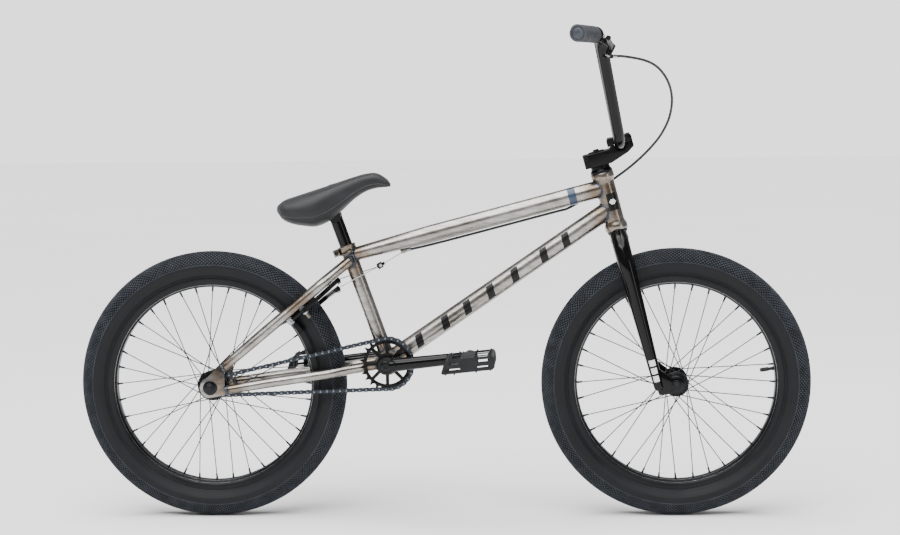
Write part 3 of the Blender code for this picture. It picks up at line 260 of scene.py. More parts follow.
@dataclass(frozen=True)
class HeatTintedSteel(Finish):
    """Bare steel under clear lacquer, with the oxide colours that welding leaves.

    The tint follows a stored attribute: each point's distance from the nearest weld, in millimetres.
    """

    reach_mm: float = 40.0

    def base_colour(self, tree: Any, place: Any, blotch: Any) -> Any:
        """Oxide colours by distance from the weld, over bare steel with drawn streaks.

        Args:
            tree: The material's node tree.
            place: The socket of the object's own coordinates.
            blotch: The socket of the finish's blotches.

        Returns:
            The colour socket.
        """
        distance = add_node(tree, "Attribute", {"attribute_name": "weld_mm"}).outputs["Fac"]
        uneven = add_node(tree, "TexNoise", inputs={"Vector": place, "Scale": 70.0, "Detail": 3.0})
        shift = add_node(
            tree, "Math", {"operation": "MULTIPLY_ADD"}, {0: uneven.outputs["Fac"], 1: 26.0, 2: -13.0}
        )
        shifted = add_node(tree, "Math", inputs={0: distance, 1: shift.outputs[0]})
        share = add_node(
            tree,
            "MapRange",
            inputs={"Value": shifted.outputs[0], "From Min": 0.0, "From Max": self.reach_mm},
        )
        oxide = add_node(
            tree,
            "ValToRGB",
            inputs={0: share.outputs[0]},
            stops=(
                (0.00, "#3f3a36"),
                (0.05, "#4c5460"),
                (0.13, "#6a6766"),
                (0.26, "#857463"),
                (0.55, "#938a80"),
                (0.92, self.colour),
            ),
        ).outputs[0]
        streak_place = add_node(tree, "Mapping", inputs={"Vector": place, "Scale": (0.25, 1.0, 1.0)})
        streak = add_node(
            tree, "TexNoise", inputs={"Vector": streak_place.outputs[0], "Scale": 160.0, "Detail": 6.0}
        )
        tones = add_node(
            tree, "ValToRGB", inputs={0: streak.outputs["Fac"]}, stops=((0.30, "#c9c7c4"), (0.62, "#ffffff"))
        ).outputs[0]
        first = add_node(
            tree,
            "Mix",
            {"data_type": "RGBA", "blend_type": "MULTIPLY"},
            {"Factor": 1.0, "A": oxide, "B": tones},
        )
        stain = add_node(
            tree, "ValToRGB", inputs={0: blotch}, stops=((0.33, "#d6d3cf"), (0.66, "#ffffff"))
        ).outputs[0]
        mixed = add_node(
            tree,
            "Mix",
            {"data_type": "RGBA", "blend_type": "MULTIPLY"},
            {"Factor": 1.0, "A": first.outputs["Result"], "B": stain},
        )
        return mixed.outputs["Result"]


# Chromoly tube, belt-linished and clear-lacquered: a soft, streaky mirror with a gloss skin over it.
RAW_STEEL = HeatTintedSteel(
    "lacquered_bare_chromoly", "#aaa7a3", "#9c9791", 0.30, 1.0, 0.07, 60.0, 0.35, 0.006, Grain.BRUSHED, 0.5, 0.12
)
# Wet-sprayed enamel on steel: deep black, near-mirror, with a faint orange peel.
GLOSS_BLACK = Finish(
    "black_gloss_enamel", "#030304", "#060607", 0.12, 0.0, 0.03, 50.0, 1.6, 0.008, Grain.CAST, ior=1.5, specular=0.22
)
# Polyester powder coat on forged parts: black with a broad soft highlight.
POWDER_BLACK = Finish(
    "black_powder_coat", "#060607", "#0b0b0d", 0.34, 0.0, 0.06, 30.0, 0.7, 0.02, Grain.CAST, ior=1.5, specular=0.16
)
# Black anodised aluminium: dark metal with satin sheen.
BLACK_ANODISED = Finish(
    "black_anodised_aluminium", "#17181a", "#222326", 0.34, 0.85, 0.05, 60.0, 0.4, 0.008, Grain.BRUSHED
)
# Carbon-filled natural rubber, moulded: matt, a little blue, dusty where it was handled.
TYRE_RUBBER = Finish(
    "vulcanised_tyre_rubber", "#101215", "#17191c", 0.60, 0.0, 0.10, 55.0, 1.2, 0.03, Grain.CAST, ior=1.52, specular=0.2
)
# The same rubber as the carcass, painted lighter: a painted highlight on the knobs' tops.
TREAD_RUBBER_PAINTED_LIGHTER = Finish(
    "vulcanised_tread_rubber", "#2b2e33", "#3b3f45", 0.68, 0.0, 0.10, 18.0, 0.9, 0.05, Grain.CAST, ior=1.52,
    specular=0.2
)
# Soft thermoplastic rubber, injection-moulded: grey, matt and slightly waxy.
GRIP_RUBBER = Finish(
    "moulded_grip_rubber", "#34363a", "#404247", 0.62, 0.0, 0.08, 14.0, 0.6, 0.04, Grain.CAST, ior=1.5, specular=0.35
)
BAR_END_PLASTIC = Finish(
    "moulded_end_plug_nylon", "#2a3038", "#353c44", 0.5, 0.0, 0.06, 12.0, 0.5, 0.02, Grain.CAST, ior=1.53
)
# Embossed vinyl over foam: dark grey with a pebble grain.
SEAT_VINYL = Finish(
    "embossed_seat_vinyl", "#1a1b1d", "#232427", 0.56, 0.0, 0.07, 35.0, 1.1, 0.10, Grain.HIDE, sheen=0.05, ior=1.5,
    specular=0.3
)
SEAT_SHELL = Finish(
    "moulded_seat_shell_nylon", "#161618", "#1d1d1f", 0.5, 0.0, 0.08, 30.0, 0.8, 0.03, Grain.CAST, ior=1.53
)
# Zinc-plated steel of bolts, axles and bearings: bright and a little streaky.
ZINC_STEEL = Finish("zinc_plated_steel", "#b4b6b8", "#94979a", 0.28, 1.0, 0.08, 8.0, 0.3, 0.01, Grain.BRUSHED)
# Black-oxide steel of spokes, nuts and bolts.
BLACK_OXIDE = Finish("black_oxide_steel", "#1b1c1e", "#292b2e", 0.33, 0.8, 0.07, 12.0, 0.3, 0.01, Grain.BRUSHED)
# Stainless spoke wire, chemically blackened: thin dark metal with a bright edge.
SPOKE_WIRE = Finish("blackened_spoke_wire", "#2b2c2e", "#3a3b3d", 0.25, 0.9, 0.05, 20.0, 0.3, 0.005, Grain.BRUSHED)
# Heat-treated chain plate: blue-black oxide, oiled.
CHAIN_STEEL = Finish("blued_chain_steel", "#2a2d32", "#3d4147", 0.26, 1.0, 0.08, 5.0, 0.3, 0.01, Grain.BRUSHED)
CHAIN_PIN = Finish("polished_chain_pin", "#8d9298", "#6f757c", 0.25, 1.0, 0.06, 4.0, 0.3, 0.005, Grain.BRUSHED)
# Glass-filled nylon platform: dark, fine mould texture.
PEDAL_NYLON = Finish(
    "glass_filled_nylon", "#131416", "#1c1d20", 0.5, 0.0, 0.08, 16.0, 0.7, 0.05, Grain.CAST, ior=1.53, specular=0.25
)
PAD_RUBBER = Finish(
    "brake_block_rubber", "#0e0e0f", "#171718", 0.75, 0.0, 0.08, 8.0, 0.6, 0.04, Grain.CAST, specular=0.2
)
# Extruded PVC over a steel liner.
HOUSING_PVC = Finish(
    "extruded_pvc_housing", "#242628", "#303235", 0.32, 0.0, 0.06, 25.0, 0.5, 0.008, Grain.CAST, specular=0.25
)
# Screen-printed ink under the lacquer.
BLACK_INK = Finish(
    "black_screen_ink", "#060607", "#0c0c0d", 0.34, 0.0, 0.05, 12.0, 0.5, 0.004, Grain.CAST, specular=0.25
)
WHITE_INK = Finish("white_screen_ink", "#e9e9e7", "#dcdcda", 0.42, 0.0, 0.05, 12.0, 0.5, 0.004, Grain.CAST)
# Welded aluminium rim, satin black anodised: dark metal, a wide soft highlight.
RIM_BLACK = Finish(
    "anodised_rim_aluminium", "#0f1012", "#18191b", 0.40, 0.6, 0.05, 80.0, 0.5, 0.008, Grain.BRUSHED
)
# Thin bright lines along the rim's edges: a painted highlight, not bare metal.
RIM_EDGE_HIGHLIGHT = Finish("rim_edge_painted_highlight", "#9a9c9f", "#84868a", 0.28, 1.0, 0.05, 20.0, 0.3, 0.004, Grain.BRUSHED)
# Turned hub shell, black anodised: darker and glossier than the rim.
HUB_BLACK = Finish("turned_hub_aluminium", "#131315", "#1c1d1f", 0.28, 0.8, 0.05, 20.0, 0.35, 0.006, Grain.BRUSHED)
# Translucent blue lacquer band over bare steel.
BLUE_BAND = Finish(
    "blue_lacquer_band", "#1f3045", "#293e55", 0.45, 0.3, 0.06, 14.0, 0.4, 0.006, Grain.BRUSHED, 0.4, 0.1
)
# Painted studio floor.
FLOOR_PAINT = Finish("matt_white_floor_paint", "#f6f6f6", "#f2f2f2", 0.85, 0.0, 0.04, 900.0, 6.0, 0.02, Grain.CAST)


# ---------------------------------------------------------------- shapes


@dataclass
class Shape:
    """Points and faces that become one mesh."""

    points: Path = field(default_factory=list)
    faces: list[tuple[int, ...]] = field(default_factory=list)

    def add(self, *others: "Shape") -> "Shape":
        """Takes in the others, and returns itself."""
        for other in others:
            start = len(self.points)
            self.points.extend(other.points)
            self.faces.extend(tuple(i + start for i in face) for face in other.faces)
        return self

    def moved(self, matrix: Matrix) -> "Shape":
        """A copy moved by the matrix."""
        return Shape([matrix @ point for point in self.points], list(self.faces))


def basis(origin: Vector, up: Vector, forward: Vector | None = None) -> Matrix:
    """A matrix whose Z runs along up, and whose X is as near as it can be to forward.

    Args:
        origin: Where it places the origin.
        up: The direction of its Z.
        forward: What its X is turned to, or None for any direction across.

    Returns:
        The matrix.
    """
    up = up.normalized()
    hint = forward if forward else ACROSS if abs(up.y) < 0.9 else Vector((1, 0, 0))
    x = (hint - up * hint.dot(up)).normalized()
    matrix = Matrix((x, up.cross(x), up)).transposed().to_4x4()
    matrix.translation = origin
    return matrix


def turns(count: int) -> list[float]:
    """Even angles round a whole turn, in radians."""
    return [math.tau * i / count for i in range(count)]


def heading(path: Path, i: int) -> Vector:
    """The direction of an open path at one of its points."""
    return (path[min(i + 1, len(path) - 1)] - path[max(i - 1, 0)]).normalized()


def side_view(points: Iterable[Vector]) -> Outline:
    """The (x, z) places of points."""
    return [(p.x, p.z) for p in points]


def collar(bore: float, face: float, radius: float, end: float, edge: float) -> Outline:
    """A profile for turning: a ring with both its outer edges broken.

    Args:
        bore: The radius of its hole.
        face: The radius at which its flat ends stop.
        radius: Its outer radius.
        end: Half of its length.
        edge: The distance from its middle at which the outer radius starts.

    Returns:
        (radius, height) points, with the middle at height 0.
    """
    return [(bore, -end), (face, -end), (radius, -edge), (radius, edge), (face, end), (bore, end)]


def washer(bore: float, radius: float, low: float, high: float) -> Outline:
    """A profile for turning: a plain ring between two heights."""
    return [(bore, low), (radius, low), (radius, high), (bore, high)]


def loft(rings: list[Path], closed: bool = False) -> Shape:
    """Joins rings of equal count with quads, and caps the ends of an open run.

    Args:
        rings: The rings, in order.
        closed: True where the last ring joins the first.

    Returns:
        The closed shape.
    """
    count = len(rings[0])
    shape = Shape([point for ring in rings for point in ring])
    for i in range(len(rings) if closed else len(rings) - 1):
        low, high = i * count, (i + 1) % len(rings) * count
        for j in range(count):
            k = (j + 1) % count
            shape.faces.append((low + j, low + k, high + k, high + j))
    if not closed:
        shape.faces.append(tuple(range(count))[::-1])
        shape.faces.append(tuple(range(len(shape.points) - count, len(shape.points))))
    return shape


def turned(profile: Outline, origin: Vector, axis: Vector, steps: int = 96) -> Shape:
    """Turns a closed profile about an axis.

    Args:
        profile: The (radius, height) points.
        origin: Where the height is 0.
        axis: The direction of growing height.
        steps: How many sides the shape has.

    Returns:
        The turned shape.
    """
    matrix = basis(origin, axis)
    rings = [[matrix @ Vector((r * math.cos(a), r * math.sin(a), h)) for r, h in profile] for a in turns(steps)]
    return loft(rings, closed=True)


def rod(start: Vector, end: Vector, radius: float, steps: int = 24, chamfer: float = 0.0) -> Shape:
    """A round bar between two points, with its ends chamfered."""
    length = (end - start).length
    c = chamfer or 0.08 * radius
    profile = [(0, 0), (radius - c, 0), (radius, c), (radius, length - c), (radius - c, length), (0, length)]
    return turned(profile, start, end - start, steps)


def rings_along(path: Path, radii: Sequence[float], sides: int, closed: bool = False) -> list[Path]:
    """Rings of points about a path, kept from twisting.

    Args:
        path: The centre line.
        radii: The radius at each of its points.
        sides: How many points each ring has.
        closed: True where the path is a loop.

    Returns:
        One ring for each point of the path.
    """
    count = len(path)
    rings: list[Path] = []
    angles = turns(sides)
    normal: Vector | None = None
    for i, (point, radius) in enumerate(zip(path, radii)):
        before = path[i - 1] if i or closed else point
        after = path[(i + 1) % count] if i < count - 1 or closed else point
        along = (after - before).normalized()
        if normal is None:
            normal = along.cross(ACROSS if abs(along.y) < 0.9 else Vector((0, 0, 1)))
        normal = (normal - along * normal.dot(along)).normalized()
        other = along.cross(normal)
        rings.append([point + (normal * math.cos(a) + other * math.sin(a)) * radius for a in angles])
    return rings


def wire(path: Path, radius: float | Sequence[float], sides: int = 16, closed: bool = False) -> Shape:
    """A round bar along a path, with one radius or one for each point."""
    radii = [radius] * len(path) if isinstance(radius, float) else list(radius)
    return loft(rings_along(path, radii, sides, closed), closed)


def rounded_section(point: Vector, wide: Vector, thick: Vector, power: float, count: int) -> Path:
    """A section between an oval and a box.

    Args:
        point: Its middle.
        wide: Half of its width.
        thick: Half of its thickness.
        power: 1 for an oval, and less for fuller corners.
        count: How many points it has.

    Returns:
        The points round it.
    """
    return [point + wide * math.copysign(abs(math.cos(a)) ** power, math.cos(a))
            + thick * math.copysign(abs(math.sin(a)) ** power, math.sin(a)) for a in turns(count)]


def block(centre: Vector, size: Sequence[float], up: Vector, forward: Vector) -> Shape:
    """A box of the given size, turned so that its Z is up and its X forward."""
    matrix = basis(centre, up, forward)
    x, y, z = (s / 2 for s in size)
    corners = [matrix @ Vector((a * x, b * y, c * z)) for c in (-1, 1) for a, b in ((-1, -1), (1, -1), (1, 1), (-1, 1))]
    faces = [(3, 2, 1, 0), (4, 5, 6, 7), (0, 1, 5, 4), (1, 2, 6, 5), (2, 3, 7, 6), (3, 0, 4, 7)]
    return Shape(corners, faces)


def plate(outlines: list[Outline], low: float, high: float) -> Shape:
    """A flat plate square to Y.

    Args:
        outlines: Lists of (x, z) points, the first solid and the others holes.
        low: The plate's lower place along Y.
        high: Its higher place along Y.

    Returns:
        The plate.
    """
    flat = [[Vector((x, z, 0)) for x, z in outline] for outline in outlines]
    triangles = tessellate_polygon(flat)
    merged = [point for outline in flat for point in outline]
    count = len(merged)
    shape = Shape([Vector((p.x, y, p.y)) for y in (low, high) for p in merged])
    shape.faces += [tuple(t) for t in triangles]
    shape.faces += [tuple(i + count for i in reversed(t)) for t in triangles]
    start = 0
    for outline in flat:
        size = len(outline)
        for i in range(size):
            a, b = start + i, start + (i + 1) % size
            shape.faces.append((a, b, b + count, a + count))
        start += size
    return shape


def arc(centre: Vector, radius: float, start: float, end: float, count: int) -> Outline:
    """(x, z) points of an arc, with angles in radians from +X towards +Z."""
    angles = [start + (end - start) * i / count for i in range(count + 1)]
    return [(centre.x + radius * math.cos(a), centre.z + radius * math.sin(a)) for a in angles]


def circle(centre: Vector, radius: float, count: int) -> Outline:
    """A closed round outline."""
    return arc(centre, radius, 0, math.tau * (count - 1) / count, count - 1)


def rounded_path(corners: Path, radius: float, steps: int = 8) -> Path:
    """Joins corners by straight runs, with a curve at each inner corner.

    Args:
        corners: The corners, with both ends.
        radius: About the radius of each curve.
        steps: How many parts each curve has.

    Returns:
        The path.
    """
    path = [corners[0]]
    for before, corner, after in zip(corners, corners[1:], corners[2:]):
        back, on = (before - corner).normalized(), (after - corner).normalized()
        limit = 0.45 * min((before - corner).length, (after - corner).length)
        reach = min(radius / math.tan(back.angle(on) / 2), limit)
        start, end = corner + back * reach, corner + on * reach
        for i in range(steps + 1):
            share = i / steps
            path.append(start.lerp(corner, share).lerp(corner.lerp(end, share), share))
    path.append(corners[-1])
    return path


def smooth_path(points: Path, spacing: float) -> Path:
    """Draws a smooth curve through points.

    Args:
        points: Places on the curve.
        spacing: About the distance between its points, in metres.

    Returns:
        The curve.
    """
    path: Path = []
    padded = [points[0] * 2 - points[1], *points, points[-1] * 2 - points[-2]]
    for a, b, c, d in zip(padded, padded[1:], padded[2:], padded[3:]):
        count = max(1, round((c - b).length / spacing))
        for i in range(count):
            t = i / count
            cubic = (3 * b - a - 3 * c + d) * t**3
            path.append(0.5 * (2 * b + (c - a) * t + (2 * a - 5 * b + 4 * c - d) * t**2 + cubic))
    path.append(points[-1])
    return path


def resampled(path: Path, spacing: float, closed: bool = False) -> Path:
    """Divides a path into even steps.

    Args:
        path: The path.
        spacing: About the distance between the new points, in metres.
        closed: True where the path is a loop.

    Returns:
        The path with its new points.
    """
    loop = path + [path[0]] if closed else path
    lengths = [0.0]
    for a, b in zip(loop, loop[1:]):
        lengths.append(lengths[-1] + (b - a).length)
    count = max(2, round(lengths[-1] / spacing))
    made: Path = []
    at = 0
    for i in range(count if closed else count + 1):
        goal = lengths[-1] * i / count
        while at < len(loop) - 2 and lengths[at + 1] < goal:
            at += 1
        run = max(lengths[at + 1] - lengths[at], 1e-12)
        made.append(loop[at].lerp(loop[at + 1], min((goal - lengths[at]) / run, 1.0)))
    return made


def sideways(point: Vector, y: float) -> Vector:
    """The point moved to a place along Y."""
    return Vector((point.x, y, point.z))


def mirrored(points: Path, side: Side) -> Path:
    """Points given for the left side, on the side asked for."""
    return [Vector((p.x, side.value * p.y, p.z)) for p in points]


def steer_point(forward: float, height: float, y: float = 0.0) -> Vector:
    """A place forward of and up the steering axis, from the head tube's centre."""
    return HEAD + STEER_FORWARD * forward + STEER_UP * height + Vector((0, y, 0))


def joint_bead(centre: Vector, up: Vector, forward: Vector, bow: Vector, size: float, count: int) -> Shape:
    """A smooth weld bead round the joint of two round tubes.

    Args:
        centre: Its middle.
        up: Half of its height.
        forward: Half of its breadth.
        bow: How far it bows out of its plane.
        size: The radius of the bead itself.
        count: How many points its line is made from.

    Returns:
        The bead.
    """
    ring = [centre + up * math.cos(a) + forward * math.sin(a) + bow * math.cos(2 * a) for a in turns(count)]
    return wire(resampled(ring, 0.002, closed=True), size, 10, closed=True)


def threaded_rod(centre: Vector, crest: float, half: float, steps: int) -> Shape:
    """A fine-threaded axle along Y, chamfered at both ends.

    Args:
        centre: Its middle.
        crest: The thread's outer radius.
        half: Half of its length.
        steps: How many sides it has.

    Returns:
        The axle.
    """
    pitch, chamfer = 0.0010, 0.0008
    profile = [(0, -half), (crest - chamfer, -half)]
    y = chamfer - half
    while y < half - chamfer:
        profile += [(crest, y), (crest - 0.0006, y + pitch / 2)]
        y += pitch
    profile += [(crest - chamfer, half), (0, half)]
    return turned(profile, centre, ACROSS, steps)


def hex_bolt(start: Vector, axis: Vector, radius: float, height: float, socket: bool = True) -> Shape:
    """A bolt head with a hexagonal socket, or a hexagonal nut.

    Args:
        start: The middle of its foot.
        axis: The direction it stands in.
        radius: Its radius, to the corners where it is a nut.
        height: Its height.
        socket: True for a round head with a socket, False for a nut.

    Returns:
        The head or the nut.
    """
    matrix = basis(start, axis)
    sides = 36 if socket else 6
    half_flat = math.pi / 6
    angles = [a + half_flat for a in turns(sides)]

    def ring(size: float, lift: float) -> Path:
        """The corners at one height."""
        return [matrix @ Vector((size * math.cos(a), size * math.sin(a), lift)) for a in angles]

    if not socket:
        return loft([ring(radius * 0.94, 0), ring(radius, 0.08 * height), ring(radius, 0.9 * height),
                     ring(radius * 0.92, height)])
    reaches = [0.5 * radius * math.cos(half_flat) / math.cos(a % (2 * half_flat) - half_flat) for a in angles]
    hollow = [[matrix @ Vector((p * math.cos(a), p * math.sin(a), lift)) for p, a in zip(reaches, angles)]
              for lift in (height, 0.35 * height)]
    return loft([ring(radius, 0), ring(radius, 0.75 * height), ring(radius * 0.88, height), *hollow])


def make_piece(
    name: str,
    shape: Shape,
    finish: Finish,
    body: str | None,
    replaced: Iterable[str] = (),
    bevel_mm: float = 0.0,
) -> bpy.types.Object:
    """Turns a shape into an object that rides on a CAD body.

    Args:
        name: The piece's name.
        shape: Its points and faces.
        finish: Its material.
        body: The CAD body that it rides on, or None to leave it unattached.
        replaced: CAD nodes that it stands for.
        bevel_mm: The width of the rounding along its sharp edges, or 0 for none.

    Returns:
        The new object.
    """
    mesh = bpy.data.meshes.new(name)
    mesh.from_pydata(shape.points, [], shape.faces)
    rounded = bmesh.new()
    rounded.from_mesh(mesh)
    bmesh.ops.remove_doubles(rounded, verts=rounded.verts, dist=1e-7)
    bmesh.ops.recalc_face_normals(rounded, faces=rounded.faces)
    if bevel_mm:
        sharp = [e for e in rounded.edges if len(e.link_faces) == 2 and e.calc_face_angle() > BEVEL_ANGLE]
        bmesh.ops.bevel(
            rounded, geom=sharp, offset=bevel_mm * MM, segments=2, profile=0.5, affect="EDGES", clamp_overlap=True
        )
    rounded.to_mesh(mesh)
    rounded.free()
    mesh.shade_smooth()
    mesh.set_sharp_from_angle(angle=CREASE_ANGLE)
    mesh.materials.append(finish.material())
    piece = bpy.data.objects.new(name, mesh)
    bpy.context.scene.collection.objects.link(piece)
    if body:
        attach(piece, body)
    nodes = list(replaced)
    if nodes:
        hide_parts(*nodes)
    LOG.info("%s: %d faces, on %s", name, len(mesh.polygons), body or "two bodies")
    return piece


# ---------------------------------------------------------------- wheels


@dataclass
class Wheel:
    """A 20 inch wheel: knurled tyre, box rim, 36 laced spokes, nipples, valve and hub."""

    name: str
    axle: Vector
    flanges: dict[Side, tuple[float, float]]
    ends: tuple[float, float]
    barrel: float
    bore: float
    valve_angle: float
    tyre_radius: float = 0.265
    tyre_half_width: float = 0.030
    tyre_wall: float = 0.0035
    tyre_middle: float = 0.2365
    tread_depth: float = 0.0021
    tread_reach: float = 84.0
    knob_pitch: float = 0.0078
    rim_outer: float = 0.212
    rim_inner: float = 0.1944
    rim_half_width: float = 0.018
    spoke_radius: float = 0.00095
    lacing: float = math.radians(60)
    spokes_per_side: int = 18
    phases: tuple[float, float] = (0.0, math.radians(10))

    @property
    def body(self) -> str:
        """The CAD body that the wheel turns on."""
        return f"{self.name}_wheel"

    def section_point(self, degrees: float, lift: float = 0.0) -> tuple[float, float]:
        """A point of the tyre's outside.

        Args:
            degrees: The angle round the section, with 90 at the crown.
            lift: How far it stands off the outside.

        Returns:
            The radius from the axle, and the place along Y.
        """
        angle = math.radians(degrees)
        height = self.tyre_radius - self.tyre_middle + lift
        return (
            self.tyre_middle + height * math.sin(angle),
            (self.tyre_half_width + lift) * math.cos(angle),
        )

    def around(self, radius: float, y: float, angle: float) -> Vector:
        """A point at a radius and an angle about the axle."""
        return self.axle + Vector((radius * math.cos(angle), y, radius * math.sin(angle)))

    def tyre(self) -> None:
        """The carcass: smooth sidewalls with moulded lines, a slightly lower crown under the knobs, and beads."""
        outer: Outline = []
        for i in range(91):
            degrees = -52 + 284 * i / 90
            from_crown = abs(degrees - 90)
            lift = -self.tread_depth if from_crown < self.tread_reach - 1 else 0.0
            for line, proud in ((108.0, 0.0006), (128.0, 0.0007)):
                lift += proud * math.exp(-(((from_crown - line) / 1.8) ** 2))
            outer.append(self.section_point(degrees, lift - 0.0007))
        bead = self.rim_half_width - 0.0030
        inner = [self.section_point(degrees, -self.tyre_wall) for degrees in range(220, -41, -20)]
        profile = [(0.2055, bead), *outer, (0.2055, -bead), (0.2055, 0.004 - bead), *inner, (0.2055, bead - 0.004)]
        carcass = turned(profile, self.axle, -ACROSS, 288)
        make_piece(f"{self.name}_tyre_carcass", carcass, TYRE_RUBBER, self.body, [f"{self.name}_tyre"])
        # The knobs take the lighter tread colour: a painted highlight on their tops.
        make_piece(f"{self.name}_tyre_tread", self.tread(), TREAD_RUBBER_PAINTED_LIGHTER, self.body)

    def tread(self) -> Shape:
        """Diamond knobs in staggered rows over the crown, and a saw-tooth edge each side of them.

        Returns:
            All the knobs.
        """
        shape = Shape()
        count = round(math.tau * self.tyre_radius / self.knob_pitch)
        step = math.tau / count
        rows = 25
        row_gap = 2 * (self.tread_reach - 3) / (rows - 1)

        def place(degrees: float, angle: float, lift: float) -> Vector:
            """A point on the tyre, across it and around it."""
            radius, y = self.section_point(degrees, lift)
            return self.around(radius, y, angle)

        def knob(corners: list[tuple[float, float]], middle: tuple[float, float]) -> None:
            """Adds one knob.

            Args:
                corners: The corners of its foot, as angles across and around.
                middle: The middle that its top shrinks towards.
            """
            start = len(shape.points)
            for share, lift in ((1.0, -self.tread_depth - 0.0006), (0.74, 0.0)):
                for degrees, angle in corners:
                    shape.points.append(
                        place(middle[0] + (degrees - middle[0]) * share, middle[1] + (angle - middle[1]) * share, lift)
                    )
            size = len(corners)
            for i in range(size):
                j = (i + 1) % size
                shape.faces.append((start + i, start + j, start + size + j, start + size + i))
            shape.faces.append(tuple(range(start + size, start + 2 * size)))

        for row in range(rows):
            degrees = 90 - (self.tread_reach - 3) + row * row_gap
            for i in range(count):
                angle = (i + 0.5 * (row % 2)) * step
                half = (row_gap * 0.78, step * 0.33)
                corners = [
                    (degrees, angle - half[1]),
                    (degrees + half[0], angle),
                    (degrees, angle + half[1]),
                    (degrees - half[0], angle),
                ]
                knob(corners, (degrees, angle))
        for sign in (-1, 1):
            edge = 90 + sign * (self.tread_reach + 0.5)
            for i in range(count):
                angle = (i + 0.5) * step
                corners = [
                    (edge - sign * 2.2, angle - step * 0.5),
                    (edge - sign * 2.2, angle + step * 0.5),
                    (edge, angle + step * 0.5),
                    (edge + sign * 3.4, angle),
                    (edge, angle - step * 0.5),
                ]
                knob(corners, (edge, angle))
        return shape

    def rim(self) -> None:
        """A box section with flat sides, a step to its inner face, and thin bright lines along its edges that are a
        painted highlight.
        """
        w, out, low = self.rim_half_width, self.rim_outer, self.rim_inner
        half = [
            (low, 0.0), (low, 0.0088), (low + 0.0008, 0.0102), (low + 0.0036, 0.0132), (low + 0.0040, 0.0142),
            (low + 0.0046, 0.0143), (low + 0.0052, 0.0160), (low + 0.0064, w - 0.0004), (low + 0.0076, w),
            (out - 0.0006, w), (out, w - 0.0006), (out, w - 0.0020), (out - 0.0012, w - 0.0026),
            (out - 0.0030, w - 0.0022), (0.2046, w - 0.0024), (0.2035, w - 0.0044), (0.2010, 0.0060),
        ]
        profile = [*half, *[(r, -y) for r, y in reversed(half[1:])]]
        make_piece(f"{self.name}_rim_hoop", turned(profile, self.axle, -ACROSS, 216), RIM_BLACK, self.body,
                   [f"{self.name}_rim"])
        # Thin bright lines on the rim's edges: a painted highlight.
        edge_highlight = Shape()
        for sign in (-1, 1):
            for lift, y, size in ((0.0045, 0.0150, 0.00045), (0.0003, 0.0096, 0.00035)):
                line = [self.around(low + lift, sign * y, a) for a in turns(216)]
                edge_highlight.add(wire(line, size, 8, closed=True))
        make_piece(f"{self.name}_rim_cut_lines", edge_highlight, RIM_EDGE_HIGHLIGHT, self.body)

    def spokes(self) -> None:
        """Spokes with bent elbows and heads, threaded into conical nipples at the rim."""
        step = math.tau / self.spokes_per_side
        nipples = Shape()
        for side, phase in zip(Side, self.phases):
            flange_y, flange_radius = self.flanges[side]
            layer = Shape()
            for i in range(self.spokes_per_side):
                direction = 1 if i % 2 == 0 else -1
                start_angle = phase + step * i
                end_angle = start_angle + direction * self.lacing
                hole = self.around(flange_radius - 0.0032, flange_y, start_angle)
                end = self.around(self.rim_inner + 0.002, side.value * 0.004, end_angle)
                outward = side.value * direction
                head = hole + ACROSS * outward * 0.0026
                leave = hole - ACROSS * outward * 0.0030
                along = (end - leave).normalized()
                path = rounded_path([head, leave, end], 0.0026, 5)
                layer.add(wire(path, self.spoke_radius, 10))
                layer.add(turned([(0, 0.0007), (0.0013, 0.0005), (0.0018, -0.0004), (0.0016, -0.0009), (0, -0.0009)],
                                 head, ACROSS * outward, 12))
                nipple = [
                    (0, -0.0135), (0.00125, -0.0135), (0.00165, -0.0125), (0.0020, -0.0060),
                    (0.0023, -0.0020), (0.0027, 0.0006), (0, 0.0006),
                ]
                nipples.add(turned(nipple, end, along, 14))
            make_piece(f"{self.name}_spoke_wires_{side.word}", layer, SPOKE_WIRE, self.body,
                       [f"{self.name}_spokes_{side.word}"])
        make_piece(f"{self.name}_spoke_nipples", nipples, BLACK_OXIDE, self.body)

    def hub(self) -> None:
        """A turned shell with its two flanges and a narrow collar at each end."""
        (right_y, right_r), (left_y, left_r) = self.flanges[Side.RIGHT], self.flanges[Side.LEFT]
        right_end, left_end = self.ends
        neck, half = self.bore + 0.0080, 0.0018
        profile = [
            (self.bore, left_end), (self.bore + 0.0036, left_end), (self.bore + 0.0040, left_end - 0.0006),
            (self.bore + 0.0040, left_y + 0.0100), (neck, left_y + 0.0090), (neck + 0.0015, left_y + 0.0040),
            (left_r - 0.0075, left_y + half + 0.0004), (left_r - 0.0008, left_y + half),
            (left_r, left_y + half - 0.0007),
            (left_r, left_y - half + 0.0007), (left_r - 0.0008, left_y - half), (self.barrel + 0.0030, left_y - half),
            (self.barrel, left_y - 0.0075), (self.barrel * 0.96, (left_y + right_y) / 2),
            (self.barrel, right_y + 0.0075),
            (self.barrel + 0.0030, right_y + half), (right_r - 0.0008, right_y + half),
            (right_r, right_y + half - 0.0007),
            (right_r, right_y - half + 0.0007), (right_r - 0.0008, right_y - half),
            (right_r - 0.0075, right_y - half - 0.0004), (neck + 0.0015, max(right_y - 0.0040, right_end + 0.0004)),
            (neck, max(right_y - 0.0090, right_end)), (self.bore, right_end),
        ]
        make_piece(f"{self.name}_hub_shell", turned(profile, self.axle, ACROSS, 72), HUB_BLACK, self.body,
                   [f"{self.name}_hub"])

